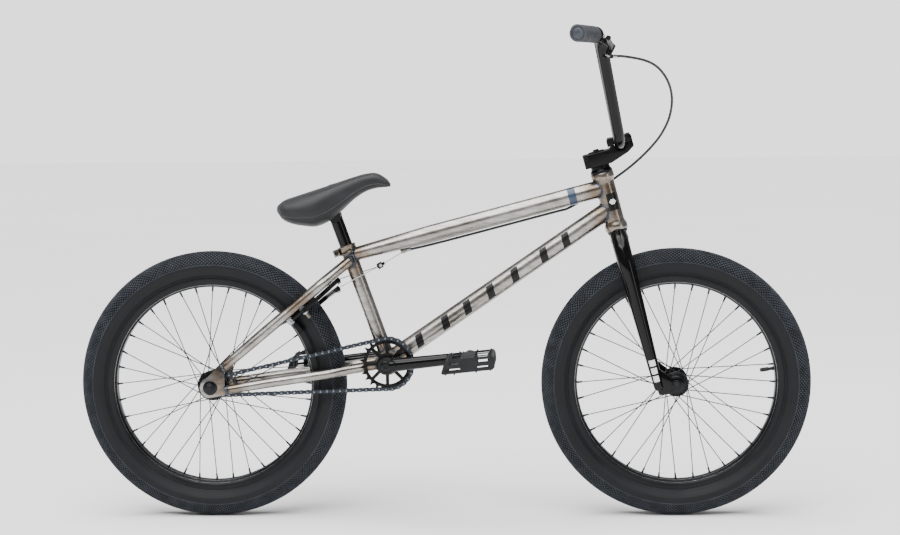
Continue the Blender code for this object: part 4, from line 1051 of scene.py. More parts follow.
    def valve(self) -> None:
        """A rubber valve stem with a plain cap, standing in from the rim."""
        base = self.around(self.rim_inner + 0.001, 0, self.valve_angle)
        inward = (self.axle - base).normalized()
        stem = [(0, 0), (0.0042, 0), (0.0040, 0.004), (0.0031, 0.006), (0.0031, 0.014), (0, 0.014)]
        cap = [(0, 0.012), (0.0041, 0.012), (0.0041, 0.026), (0.0034, 0.0285), (0, 0.0290)]
        for word, profile, finish in (("stem", stem, TYRE_RUBBER), ("cap", cap, PEDAL_NYLON)):
            shape = turned(profile, base, inward, 28)
            make_piece(f"{self.name}_valve_{word}", shape, finish, self.body)

    def build(self) -> None:
        """Builds the whole wheel."""
        self.tyre()
        self.rim()
        self.spokes()
        self.hub()
        self.valve()


# ---------------------------------------------------------------- the raw steel frame


@dataclass
class Mate:
    """The round tube that another one is mitred to."""

    point: Vector
    axis: Vector
    radius: float

    def reach(self, start: Vector, along: Vector) -> float:
        """How far a line goes before it meets this tube, or comes nearest to it.

        Args:
            start: A point on the line.
            along: The line's direction.

        Returns:
            The distance from the start.
        """
        across = along - self.axis * along.dot(self.axis)
        offset = start - self.point
        offset = offset - self.axis * offset.dot(self.axis)
        a, b, c = across.dot(across), 2 * across.dot(offset), offset.dot(offset) - self.radius**2
        inside = b * b - 4 * a * c
        return (-b - math.sqrt(inside)) / (2 * a) if inside > 0 else -b / (2 * a)


@dataclass
class RawFrame:
    """The welded frame of lacquered bare steel, with its weld beads, heat tint, stops, badge and printed blocks."""

    head_half: float = 0.058
    head_end: float = 0.0222
    head_waist: float = 0.019
    seat_tube_radius: float = 0.0143
    seat_tube_bore: float = 0.0130
    seat_tube_length: float = 0.245
    shell_radius: float = 0.0235
    shell_bore: float = 0.0209
    shell_half: float = 0.0365
    top_seat: Vector = field(default_factory=lambda: Vector((-0.1831, 0, 0.5194)))
    top_head: Vector = field(default_factory=lambda: Vector((0.3217, 0, 0.6501)))
    top_radius: float = 0.0173
    top_seat_radius: float = 0.0130
    top_taper: float = 0.165
    down_head: Vector = field(default_factory=lambda: Vector((0.3319, 0, 0.6095)))
    down_radius: float = 0.0178
    stay_radius: float = 0.0098
    dropout_y: float = 0.058
    dropout_radius: float = 0.0205
    bead_radius: float = 0.0021
    ring_gap: float = 0.0035
    welds: list[Path] = field(default_factory=list)
    steel: list[bpy.types.Object] = field(default_factory=list)

    def piece(self, name: str, shape: Shape, nodes: Sequence[str] = (), bevel_mm: float = 0.0) -> None:
        """Adds a piece of bare steel, to be tinted when all the welds are known."""
        self.steel.append(make_piece(name, shape, RAW_STEEL, "frame", nodes, bevel_mm))

    def mitre(self, start: Vector, end: Vector, radius: float, mate: Mate, sides: int = 64) -> Path:
        """Finds where a tube meets its mate.

        Args:
            start: A point on the tube's centre line.
            end: Another point, towards the mate.
            radius: The tube's radius.
            mate: The tube that it meets.
            sides: How many points the curve has.

        Returns:
            The closed curve.
        """
        axis = (end - start).normalized()
        matrix = basis(start, axis)
        curve = []
        for angle in turns(sides):
            foot = matrix @ Vector((radius * math.cos(angle), radius * math.sin(angle), 0))
            curve.append(foot + axis * mate.reach(foot, axis))
        return curve

    def tube(self, start: Vector, end: Vector, mates: tuple[Mate, Mate], radius_at: Callable[[float], float]) -> Shape:
        """A straight tube mitred at both ends.

        Args:
            start: The start of its centre line.
            end: The end of its centre line.
            mates: The tubes that it meets at its start and end.
            radius_at: Its radius by distance from the start.

        Returns:
            The tube. Its two mitres are added to the welds.
        """
        length = (end - start).length
        axis = (end - start) / length
        middle = start.lerp(end, 0.5)
        first = self.mitre(middle, middle - axis, radius_at(0), mates[0])[::-1]
        last = self.mitre(middle, end, radius_at(length), mates[1])
        self.welds += [first, last]
        matrix = basis(middle, axis)
        count = round(length / self.ring_gap)
        rows: list[Path] = []
        low, high = [], []
        turn = matrix.to_3x3()
        directions = [turn @ Vector((math.cos(a), math.sin(a), 0)) for a in turns(len(last))]
        for direction in directions:
            foot = middle + direction * radius_at(0)
            low.append(length / 2 - mates[0].reach(foot, -axis))
            foot = middle + direction * radius_at(length)
            high.append(length / 2 + mates[1].reach(foot, axis))
        for i in range(count + 1):
            share = i / count
            ring = []
            for direction, a, b in zip(directions, low, high):
                at = a + (b - a) * share
                ring.append(start + axis * at + direction * radius_at(at))
            rows.append(ring)
        return loft(rows)

    def bead(self, curve: Path) -> Shape:
        """A weld bead with the ripples that each dab of the filler rod leaves.

        Args:
            curve: The closed curve that it follows.

        Returns:
            The bead.
        """
        step, ripple = 0.0006, 0.0022
        path = resampled(curve, step, closed=True)
        radii = []
        for i, point in enumerate(path):
            wave = 0.5 + 0.5 * math.cos(math.tau * i * step / ripple)
            radii.append(self.bead_radius * (0.86 + 0.16 * wave + 0.10 * noise.noise(point * 160)))
        return wire(path, radii, 10, closed=True)

    def ring_at(self, path: Path, index: int, radius: float) -> Path:
        """A circle about a path at one of its points."""
        matrix = basis(path[index], heading(path, index))
        return [matrix @ Vector((radius * math.cos(a), radius * math.sin(a), 0)) for a in turns(48)]

    def head(self) -> None:
        """The head tube, flared at both ends over the bearings."""
        end, waist, half, bore = self.head_end, self.head_waist, self.head_half, 0.0166
        upper = [(end - 0.0006, half), (end, half - 0.0008), (end, half - 0.0085)]
        for i in range(1, 9):
            share = i / 8
            upper.append((end + (waist - end) * (3 * share**2 - 2 * share**3), half - 0.0085 - 0.0115 * share))
        body = [*upper, *[(waist, h * MM) for h in range(36, -37, -4)], *[(r, -h) for r, h in reversed(upper)]]
        inner = [(0.0207, -half), (0.0207, -half + 0.0079), (bore, -half + 0.0079), (bore, half - 0.0079),
                 (0.0207, half - 0.0079), (0.0207, half)]
        self.piece("head_tube_shell", turned(body + inner, HEAD, STEER_UP, 96), ["head_tube"])

    def main_tubes(self) -> None:
        """The top, down and seat tubes, and the bottom bracket shell."""
        head = Mate(HEAD, STEER_UP, self.head_waist)
        seat = Mate(BB, SEAT_UP, self.seat_tube_radius)
        shell = Mate(BB, ACROSS, self.shell_radius)

        def top_radius(at: float) -> float:
            """The top tube's radius by distance from the seat tube."""
            share = min(max(at / self.top_taper, 0.0), 1.0)
            return self.top_seat_radius + (self.top_radius - self.top_seat_radius) * share

        self.piece("top_tube_drawn", self.tube(self.top_seat, self.top_head, (seat, head), top_radius), ["top_tube"])
        self.piece("down_tube_drawn", self.tube(BB, self.down_head, (shell, head), lambda at: self.down_radius),
                   ["down_tube"])
        top = BB + SEAT_UP * self.seat_tube_length
        self.welds.append(self.mitre(top, BB, self.seat_tube_radius, shell))
        bore, wall = self.seat_tube_bore, self.seat_tube_radius
        heights = [i * self.ring_gap for i in range(6, round(self.seat_tube_length / self.ring_gap))]
        profile = [(wall, 0.0175), *[(wall, h) for h in heights], (wall, self.seat_tube_length - 0.0005),
                   (wall - 0.0005, self.seat_tube_length), (bore, self.seat_tube_length), (bore, 0.105), (0, 0.105),
                   (0, 0.0175)]
        self.piece("seat_tube_drawn", turned(profile, BB, SEAT_UP, 64), ["seat_tube"])
        rows = [(self.shell_radius, y / 1000) for y in range(35, -36, -2)]
        edge = self.shell_half
        ring = [(self.shell_bore, edge), (self.shell_radius - 0.0006, edge), (self.shell_radius, edge - 0.0006), *rows,
                (self.shell_radius, 0.0006 - edge), (self.shell_radius - 0.0006, -edge), (self.shell_bore, -edge)]
        self.piece("bottom_bracket_shell_turned", turned(ring, BB, ACROSS, 96), ["bottom_bracket_shell"])

    def stays(self) -> None:
        """Two bent stays a side, with the posts that the brake turns on."""
        shell = Mate(BB, ACROSS, self.shell_radius)
        seat = Mate(BB, SEAT_UP, self.seat_tube_radius)
        chain_corners = [Vector((-0.4277, 0.0575, 0.2600)), Vector((-0.345, 0.0475, 0.2725)),
                         Vector((-0.225, 0.0430, 0.2890)), Vector((-0.185, 0.0300, 0.2960)),
                         Vector((-0.112, 0.0270, 0.3080))]
        seat_corners = [Vector((-0.4338, 0.0575, 0.3022)), Vector((-0.300, 0.0445, 0.4130)),
                        Vector((-0.232, 0.0405, 0.4695)), Vector((-0.183, 0.0120, 0.5090))]
        for side in Side:
            for word, corners, mate in (("chainstay", chain_corners, shell), ("seatstay", seat_corners, seat)):
                points = mirrored(corners, side)
                path = resampled(rounded_path(points, 0.09, 12), self.ring_gap)
                radii = [0.0085 + (self.stay_radius - 0.0085) * min(i * self.ring_gap / 0.08, 1.0)
                         for i in range(len(path))]
                self.piece(f"{word}_bent_{side.word}", wire(path, radii, 40), [f"{word}_{side.word}"])
                self.welds.append(self.mitre(points[-2], points[-1], self.stay_radius, mate, 40))
                self.welds.append(self.ring_at(path, 1, 0.0082))
            y = side.value * 0.043
            foot = brake_point(0, y, -0.0145)
            post = rod(foot, brake_point(0, y, 0.0135), 0.0039, 24, 0.0005)
            base = rod(foot, brake_point(0, y, -0.0095), 0.0072, 32, 0.0006)
            self.piece(f"brake_post_{side.word}", post.add(base))
            self.welds.append([foot + (STAY_UP * math.cos(a) + ACROSS * math.sin(a)) * 0.0068 + BRAKE_OUT * 0.0042
                               for a in turns(36)])

    def dropouts(self) -> None:
        """Plates with a round hole for the axle, and the arms that the stays are welded to."""
        stay_end, chain_end = Vector((-0.4340, 0, 0.3020)), Vector((-0.4280, 0, 0.2600))
        chain_up = (Vector((-0.345, 0, 0.2725)) - chain_end).normalized()
        upper = Vector((-STAY_UP.z, 0, STAY_UP.x)) * 0.0088
        lower = Vector((-chain_up.z, 0, chain_up.x)) * 0.0088
        outline = arc(REAR_AXLE, self.dropout_radius, math.radians(112), math.radians(262), 28)
        outline += side_view((chain_end - lower, chain_end + lower, stay_end - upper, stay_end + upper))
        hole = circle(REAR_AXLE, 0.0073, 32)
        for side in Side:
            y = side.value * self.dropout_y
            self.piece(f"dropout_plate_{side.word}", plate([outline, hole], y - 0.003, y + 0.003),
                       [f"dropout_{side.word}"], 0.8)

    def clamp(self) -> None:
        """The seat collar, with ears and a bolt behind."""
        top, bottom = self.seat_tube_length - 0.001, self.seat_tube_length - 0.017
        profile = [(0.0146, bottom), (0.0180, bottom), (0.0185, bottom + 0.0006), (0.0185, bottom + 0.003),
                   (0.0178, bottom + 0.004), (0.0178, top - 0.004), (0.0185, top - 0.003), (0.0185, top - 0.0006),
                   (0.0180, top), (0.0146, top)]
        shape = turned(profile, BB, SEAT_UP, 72)
        ear = BB + SEAT_UP * (top + bottom) / 2 + SEAT_BACK * 0.0225
        bolt = rod(ear - ACROSS * 0.013, ear + ACROSS * 0.013, 0.0026, 20)
        for out in (-ACROSS, ACROSS):
            shape.add(block(ear + out * 0.0052, (0.012, 0.0075, 0.0135), SEAT_UP, SEAT_BACK))
            bolt.add(hex_bolt(ear + out * 0.0088, out, 0.0042, 0.0045))
        self.piece("seat_collar", shape, ["seat_clamp"], 0.5)
        make_piece("seat_collar_bolt", bolt, BLACK_OXIDE, "frame")

    def stops(self) -> None:
        """The housing stop under the top tube."""
        along = (self.top_head - self.top_seat).normalized()
        shape = turned([(0.0014, 0), (0.0045, 0), (0.0045, -0.0095), (0.0038, -0.0105), (0.0014, -0.0105)],
                       HOUSING_STOP, along, 28)
        lug = HOUSING_STOP - along * 0.0055 + Vector((0, 0, 0.0058))
        shape.add(block(lug, (0.010, 0.0032, 0.0060), Vector((0, 0, 1)), along))
        self.piece("housing_stop", shape)

    def beads(self) -> None:
        """Every weld's bead as one piece."""
        shape = Shape()
        for curve in self.welds:
            shape.add(self.bead(curve))
        self.piece("weld_beads", shape)

    def tint(self) -> None:
        """Stores each point's distance from the nearest weld on all the bare steel."""
        curve = [point for weld in self.welds for point in resampled(weld, 0.002, closed=True)]
        tree = KDTree(len(curve))
        for i, point in enumerate(curve):
            tree.insert(point, i)
        tree.balance()
        for piece in self.steel:
            mesh = piece.data
            values = [tree.find(vertex.co)[2] / MM for vertex in mesh.vertices]
            if piece.name == "weld_beads":
                values = [0.0] * len(values)
            mesh.attributes.new("weld_mm", "FLOAT", "POINT").data.foreach_set("value", values)

    def skin(self, start: Vector, end: Vector, radius: float, outline: Outline, lift: float = 0.00012) -> Shape:
        """A thin printed shape wrapped on the right side of a tube.

        Args:
            start: A point on the tube's centre line, where the outline's first number is 0.
            end: Another point, towards which the first number grows.
            radius: The tube's radius there.
            outline: Corners as distances along the tube and round it from its right side, up positive.
            lift: How far it stands off the metal.

        Returns:
            A closed skin.
        """
        axis = (end - start).normalized()
        up = axis.cross(ACROSS).normalized()
        if up.z < 0:
            up = -up
        xs = [p[0] for p in outline]
        ys = [p[1] for p in outline]
        flat = [Vector((x, y, 0)) for x, y in outline]
        shape = bmesh.new()
        bottom = [shape.verts.new(p) for p in flat]
        shape.faces.new(bottom)
        for values, normal in ((xs, Vector((1, 0, 0))), (ys, Vector((0, 1, 0)))):
            low, high = min(values), max(values)
            count = max(2, round((high - low) / 0.002))
            for i in range(1, count):
                at = low + (high - low) * i / count
                bmesh.ops.bisect_plane(shape, geom=shape.verts[:] + shape.edges[:] + shape.faces[:],
                                       plane_co=normal * at, plane_no=normal)
        bmesh.ops.triangulate(shape, faces=shape.faces[:])
        shape.verts.ensure_lookup_table()
        made = Shape()
        for level in (lift, -0.0004):
            for vertex in shape.verts:
                angle = vertex.co.y / radius
                out = -ACROSS * math.cos(angle) + up * math.sin(angle)
                made.points.append(start + axis * vertex.co.x + out * (radius + level))
        count = len(shape.verts)
        for face in shape.faces:
            ids = tuple(v.index for v in face.verts)
            made.faces += [ids, tuple(i + count for i in reversed(ids))]
        for edge in shape.edges:
            if len(edge.link_faces) == 1:
                a, b = (v.index for v in edge.verts)
                made.faces.append((a, b, b + count, a + count))
        shape.free()
        return made

    def prints(self) -> None:
        """Plain black blocks along the down tube, a blue band on the top tube and a plain head badge."""
        axis = (self.down_head - BB).normalized()
        blocks = Shape()
        for x in (-0.046, 0.0055, 0.049, 0.095, 0.143, 0.200, 0.243):
            at = (x - BB.x) / axis.x
            outline = [(-0.0125, -0.0135), (0.0035, -0.0135), (0.0125, 0.0135), (-0.0035, 0.0135)]
            blocks.add(self.skin(BB + axis * at, BB + axis * (at + 1), self.down_radius, outline))
        make_piece("down_tube_printed_blocks", blocks, BLACK_INK, "frame")
        band_axis = (self.top_head - self.top_seat).normalized()
        place = self.top_seat + band_axis * ((0.2565 - self.top_seat.x) / band_axis.x)
        profile = [(self.top_radius - 0.0004, -0.0078), (self.top_radius + 0.00018, -0.0075),
                   (self.top_radius + 0.00018, 0.0075), (self.top_radius - 0.0004, 0.0078)]
        make_piece("top_tube_blue_band", turned(profile, place, band_axis, 72), BLUE_BAND, "frame")
        badge = [(0.0, -0.004), (0.034, -0.004), (0.034, 0.0165), (0.0, 0.0165)]
        mark = [(0.012, 0.003), (0.017, -0.001), (0.022, 0.003), (0.022, 0.009), (0.017, 0.013), (0.012, 0.009)]
        for name, outline, ink, lift in (
            ("head_badge", badge, BLACK_INK, 0.00012), ("head_badge_mark", mark, WHITE_INK, 0.0003)
        ):
            skin = self.skin(HEAD - STEER_UP * 0.018, HEAD, self.head_waist, outline, lift)
            make_piece(name, skin, ink, "frame")

    def build(self) -> None:
        """Builds the whole frame."""
        self.head()
        self.main_tubes()
        self.stays()
        self.dropouts()
        self.clamp()
        self.stops()
        self.beads()
        self.tint()
        self.prints()


def brake_point(along: float, y: float, out: float = 0.0) -> Vector:
    """A place up the seat stays from the brake's pivots, and out from their plane."""
    return BRAKE_PIVOT + STAY_UP * along + BRAKE_OUT * out + ACROSS * y


# ---------------------------------------------------------------- steering


@dataclass
class Fork:
    """The fork with its tapered legs, the headset round it and the front axle with its nuts."""

    steerer_radius: float = 0.0143
    steerer_top: float = 0.0975
    leg_top_radius: float = 0.0168
    leg_end_radius: float = 0.0092
    leg_start: float = -0.068
    leg_end: float = -0.3785
    dropout_y: float = 0.053
    axle_radius: float = 0.0048

    def steerer(self) -> None:
        """The steerer, with the crown race and the crown's stub below it."""
        profile = [
            (0.0120, self.steerer_top), (self.steerer_radius - 0.0004, self.steerer_top), (self.steerer_radius, 0.0971),
            (self.steerer_radius, -0.0583), (0.0196, -0.0583), (0.0200, -0.0587), (0.0200, -0.0621), (0.0190, -0.0640),
            (0.0172, -0.0665), (0.0172, -0.0905), (0.0164, -0.0920), (0.0120, -0.0920),
        ]
        make_piece("fork_steerer_tube", turned(profile, HEAD, STEER_UP, 72), GLOSS_BLACK, "steering", ["fork_steerer"])

    def headset(self) -> None:
        """Sealed bearings in the head tube, and the cap under the stem."""
        for word, top in (("upper", 0.058), ("lower", -0.0504)):
            ring = [(0.0146, top), (0.0165, top), (0.0168, top - 0.0004), (0.0186, top - 0.0004), (0.0189, top),
                    (0.0200, top), (0.0204, top - 0.0004), (0.0204, top - 0.0072), (0.0200, top - 0.0076),
                    (0.0146, top - 0.0076)]
            make_piece(f"headset_bearing_sealed_{word}", turned(ring, HEAD, STEER_UP, 72), ZINC_STEEL, "frame",
                       [f"headset_bearing_{word}"])
        cap = [(0.0146, 0.0583), (0.0212, 0.0583), (0.0216, 0.0588), (0.0216, 0.0615), (0.0212, 0.0626),
               (0.0196, 0.0650), (0.0187, 0.0672), (0.0186, 0.0682), (0.0186, 0.0695), (0.0180, 0.0698),
               (0.0180, 0.0702), (0.0186, 0.0705), (0.0186, 0.0722), (0.0182, 0.0727), (0.0146, 0.0727)]
        make_piece("headset_cap_turned", turned(cap, HEAD, STEER_UP, 72), BLACK_ANODISED, "steering", ["headset_cap"])

    def leg_radius(self, height: float) -> float:
        """The radius of a leg, by height along the steering axis."""
        share = max(0.0, (self.leg_start - height) / (self.leg_start - self.leg_end))
        return self.leg_top_radius + (self.leg_end_radius - self.leg_top_radius) * share**1.3

    def legs(self) -> None:
        """Legs that leave the crown sideways, bend down and taper to the dropouts, with their weld beads."""
        beads = Shape()
        for side in Side:
            corners = [steer_point(0, self.leg_start, side.value * 0.012), steer_point(0, -0.086, side.value * 0.036),
                       steer_point(0, -0.125, side.value * 0.0495),
                       steer_point(-0.001, self.leg_end, side.value * self.dropout_y)]
            path = resampled(rounded_path(corners, 0.06, 14), 0.005)
            radii = [self.leg_radius((point - HEAD).dot(STEER_UP)) for point in path]
            radii[-1] *= 0.62
            shape = wire(path, radii, 48)
            foot, heel = steer_point(-0.004, self.leg_end - 0.009), steer_point(-0.008, self.leg_end + 0.030)
            brow = steer_point(0.006, self.leg_end + 0.045)
            outline = arc(FRONT_AXLE, 0.0150, math.radians(-75), math.radians(120), 28)
            outline += side_view((brow, heel, foot))
            y = side.value * self.dropout_y
            shape.add(plate([outline, circle(FRONT_AXLE, 0.0051, 28)], y - 0.003, y + 0.003))
            make_piece(f"fork_leg_tapered_{side.word}", shape, GLOSS_BLACK, "steering", [f"fork_leg_{side.word}"], 0.5)
            middle, bow = steer_point(0, -0.076, side.value * 0.0152), ACROSS * side.value * 0.002
            beads.add(joint_bead(middle, STEER_UP * 1.05 * 0.0158, STEER_FORWARD * 0.0158, bow, 0.0020, 48))
        make_piece("fork_weld_beads", beads, GLOSS_BLACK, "steering")

    def mark(self) -> None:
        """A plain printed mark of three bars low on the right leg."""
        shape = Shape()
        for low, high in ((-0.328, -0.316), (-0.344, -0.332), (-0.360, -0.348)):
            skin: list[Path] = []
            for i in range(9):
                height = low + (high - low) * i / 8
                down = (-0.125 - height) / (-0.125 - self.leg_end)
                centre = steer_point(-0.001 * down, height, -0.0495 - 0.0035 * down)
                radius = self.leg_radius(height)
                ring = []
                for lift in (0.00040, -0.0005):
                    for k in (range(9) if lift > 0 else range(8, -1, -1)):
                        angle = math.radians(-34 + 64 * k / 8)
                        out = -ACROSS * math.cos(angle) + STEER_FORWARD * math.sin(angle)
                        ring.append(centre + out * (radius + lift))
                skin.append(ring)
            shape.add(loft(skin))
        make_piece("fork_leg_printed_mark", shape, WHITE_INK, "steering")

    def axle(self) -> None:
        """The threaded axle, washers and flanged nuts."""
        shape = threaded_rod(FRONT_AXLE, self.axle_radius, 0.064, 24)
        flange = [(0.005, 0), (0.0112, 0), (0.0112, 0.0012), (0.0095, 0.0020), (0.005, 0.0020)]
        nuts = Shape()
        for side in Side:
            out = ACROSS * side.value
            foot = FRONT_AXLE + out * 0.0562
            nuts.add(turned(flange, foot, out, 36))
            nuts.add(hex_bolt(foot + out * 0.0018, out, 0.0088, 0.0056, socket=False))
        make_piece("front_axle_threaded", shape, BLACK_OXIDE, "steering", ["front_axle"])
        make_piece("front_axle_nuts", nuts, BLACK_OXIDE, "steering")

    def build(self) -> None:
        """Builds the fork and what sits on it."""
        self.steerer()
        self.headset()
        self.legs()
        self.mark()
        self.axle()


@dataclass
class Stem:
    """A top-load stem: a forged body with a raised nose, a cap, and its bolts."""

    bottom: float = 0.073
    top: float = 0.0995
    half_width: float = 0.026

    def outline(self, places: Sequence[tuple[float, float]]) -> Outline:
        """(x, z) corners from distances forward of and up the steering axis."""
        return side_view(steer_point(f, h) for f, h in places)

    def cradle(self, start: float) -> Outline:
        """The half round seat of the bar, from an angle in degrees."""
        angles = [math.radians(start - 168 * i / 20) for i in range(21)]
        return [(BAR_FORWARD + 0.01145 * math.cos(a), BAR_HEIGHT + 0.01145 * math.sin(a)) for a in angles]

    def build(self) -> None:
        """Builds the body, the cap and the bolts."""
        places = [(-0.0275, self.bottom), (0.0240, self.bottom), (0.0600, self.bottom + 0.0120),
                  (0.0740, self.bottom + 0.0210), (0.0740, self.bottom + 0.0300), *self.cradle(-6),
                  (0.0300, self.bottom + 0.0300), (0.0260, self.top), (-0.0275, self.top)]
        body = plate([self.outline(places)], -self.half_width, self.half_width)
        make_piece("stem_body_forged", body, POWDER_BLACK, "steering", ["stem"], 2.0)
        low, high = 0.1040, 0.1190
        cap_places = [(0.0240, low), *self.cradle(174), (0.0740, low), (0.0740, high - 0.004), (0.0700, high),
                      (0.0280, high),
                      (0.0240, high - 0.004)]
        cap = plate([self.outline(cap_places)], 0.001 - self.half_width, self.half_width - 0.001)
        make_piece("stem_cap_forged", cap, POWDER_BLACK, "steering", ["stem_cap"], 1.6)
        bolts = Shape()
        for forward in (0.0305, 0.0675):
            for y in (-0.0175, 0.0175):
                bolts.add(hex_bolt(steer_point(forward, high - 0.0034, y), STEER_UP, 0.0044, 0.0042))
        for height in (0.0800, 0.0925):
            bolts.add(hex_bolt(steer_point(-0.0225, height, -0.0230), -ACROSS, 0.0042, 0.0046))
        # A dark rubber strip on the stem's back stands for the clamp slit: painted shade in the gap.
        slit_shade_strip = block(steer_point(-0.0240, 0.0863), (0.009, 0.0014, 0.0272), STEER_UP, STEER_FORWARD)
        make_piece("stem_slit_painted_shade", slit_shade_strip, PAD_RUBBER, "steering")
        top = turned([(0, 0), (0.0165, 0), (0.0165, 0.0016), (0.0150, 0.0026), (0, 0.0026)],
                     steer_point(0, self.top - 0.0002), STEER_UP, 60)
        make_piece("steerer_top_cap", top, POWDER_BLACK, "steering")
        bolts.add(hex_bolt(steer_point(0, self.top + 0.0018), STEER_UP, 0.0058, 0.0040))
        make_piece("stem_bolts", bolts, BLACK_OXIDE, "steering", bevel_mm=0.2)


@dataclass
class Handlebar:
    """Two-piece BMX bars with a crossbar, ribbed grips and end plugs."""

    clamp: Vector = field(default_factory=lambda: steer_point(BAR_FORWARD, BAR_HEIGHT))
    base_y: float = 0.058
    corner: Vector = field(default_factory=lambda: Vector((0.310, 0.160, 0.9475)))
    end: Vector = field(default_factory=lambda: Vector((0.2695, 0.360, 0.9524)))
    radius: float = 0.0111
    crossbar_share: float = 0.62
    crossbar_radius: float = 0.008
    grip_length: float = 0.145
    grip_radius: float = 0.0157

    @property
    def grip_axis(self) -> Vector:
        """The left grip's direction, outwards."""
        return (self.end - self.corner).normalized()

    def grip_point(self, y: float, side: Side) -> Vector:
        """The bar's centre in the grip's length, at a distance y from the middle of the bike."""
        place = self.end + self.grip_axis * ((y - self.end.y) / self.grip_axis.y)
        return Vector((place.x, side.value * place.y, place.z))

    def bars(self) -> None:
        """The bent bar with its crossbar welded in."""
        low = Vector((self.clamp.x, self.base_y, self.clamp.z))
        run = [self.end, self.corner, low]
        corners = mirrored(run, Side.RIGHT) + mirrored(run[::-1], Side.LEFT)
        path = resampled(rounded_path(corners, 0.050, 16), 0.006)
        shape = wire(path, self.radius, 40)
        brace = low.lerp(self.corner, self.crossbar_share)
        shape.add(rod(sideways(brace, -brace.y), sideways(brace, brace.y), self.crossbar_radius, 32))
        upright = (self.corner - low).normalized()
        for side in Side:
            centre = sideways(brace, side.value * (brace.y - 0.0098))
            lean = upright.copy()
            lean.y *= side.value
            bow = ACROSS * side.value * 0.0018
            shape.add(joint_bead(centre, lean * 1.1 * 0.0080, STEER_FORWARD * 0.0080, bow, 0.0019, 36))
        make_piece("handlebar_bent_tube", shape, GLOSS_BLACK, "steering", ["handlebar"])

    def grips(self) -> None:
        """Rubber grips with raised ribs in two fields, a smooth thumb band and a plug in each end."""
        for side in Side:
            axis, end = mirrored([self.grip_axis, self.end], side)
            end = end + axis * 0.0048
            root, top = self.grip_radius - 0.0014, self.grip_radius
            profile: Outline = [(0, -0.0042), (0.0100, -0.0042), (0.0105, -0.0020), (0.0125, 0.0), (top - 0.0012, 0.0),
                                (top, -0.0014), (top, -0.0045), (root, -0.0052)]
            at = -0.0070
            while at > -0.136:
                if -0.074 < at < -0.066:
                    profile += [(root + 0.0004, at), (root + 0.0008, at - 0.0014)]
                else:
                    profile += [(root, at), (top - 0.0002, at - 0.0005), (top - 0.0002, at - 0.0015),
                                (root, at - 0.0020)]
                at -= 0.0030
            profile += [(root, -0.1385), (top, -0.1395), (top, -0.1440), (top - 0.0010, -self.grip_length),
                        (0.0114, -self.grip_length), (0.0114, -0.012), (0, -0.012)]
            make_piece(f"grip_moulded_{side.word}", turned(profile, end, axis, 64), GRIP_RUBBER, "steering",
                       [f"grip_{side.word}"])
            plug = [(0, -0.0040), (0.0108, -0.0040), (0.0108, -0.0012), (0.0098, -0.0004), (0.0035, -0.0004),
                    (0.0028, -0.0012), (0, -0.0012)]
            make_piece(f"grip_end_plug_{side.word}", turned(plug, end, axis, 56), BAR_END_PLASTIC, "steering")

    def build(self) -> None:
        """Builds the bars and grips."""
        self.bars()
        self.grips()


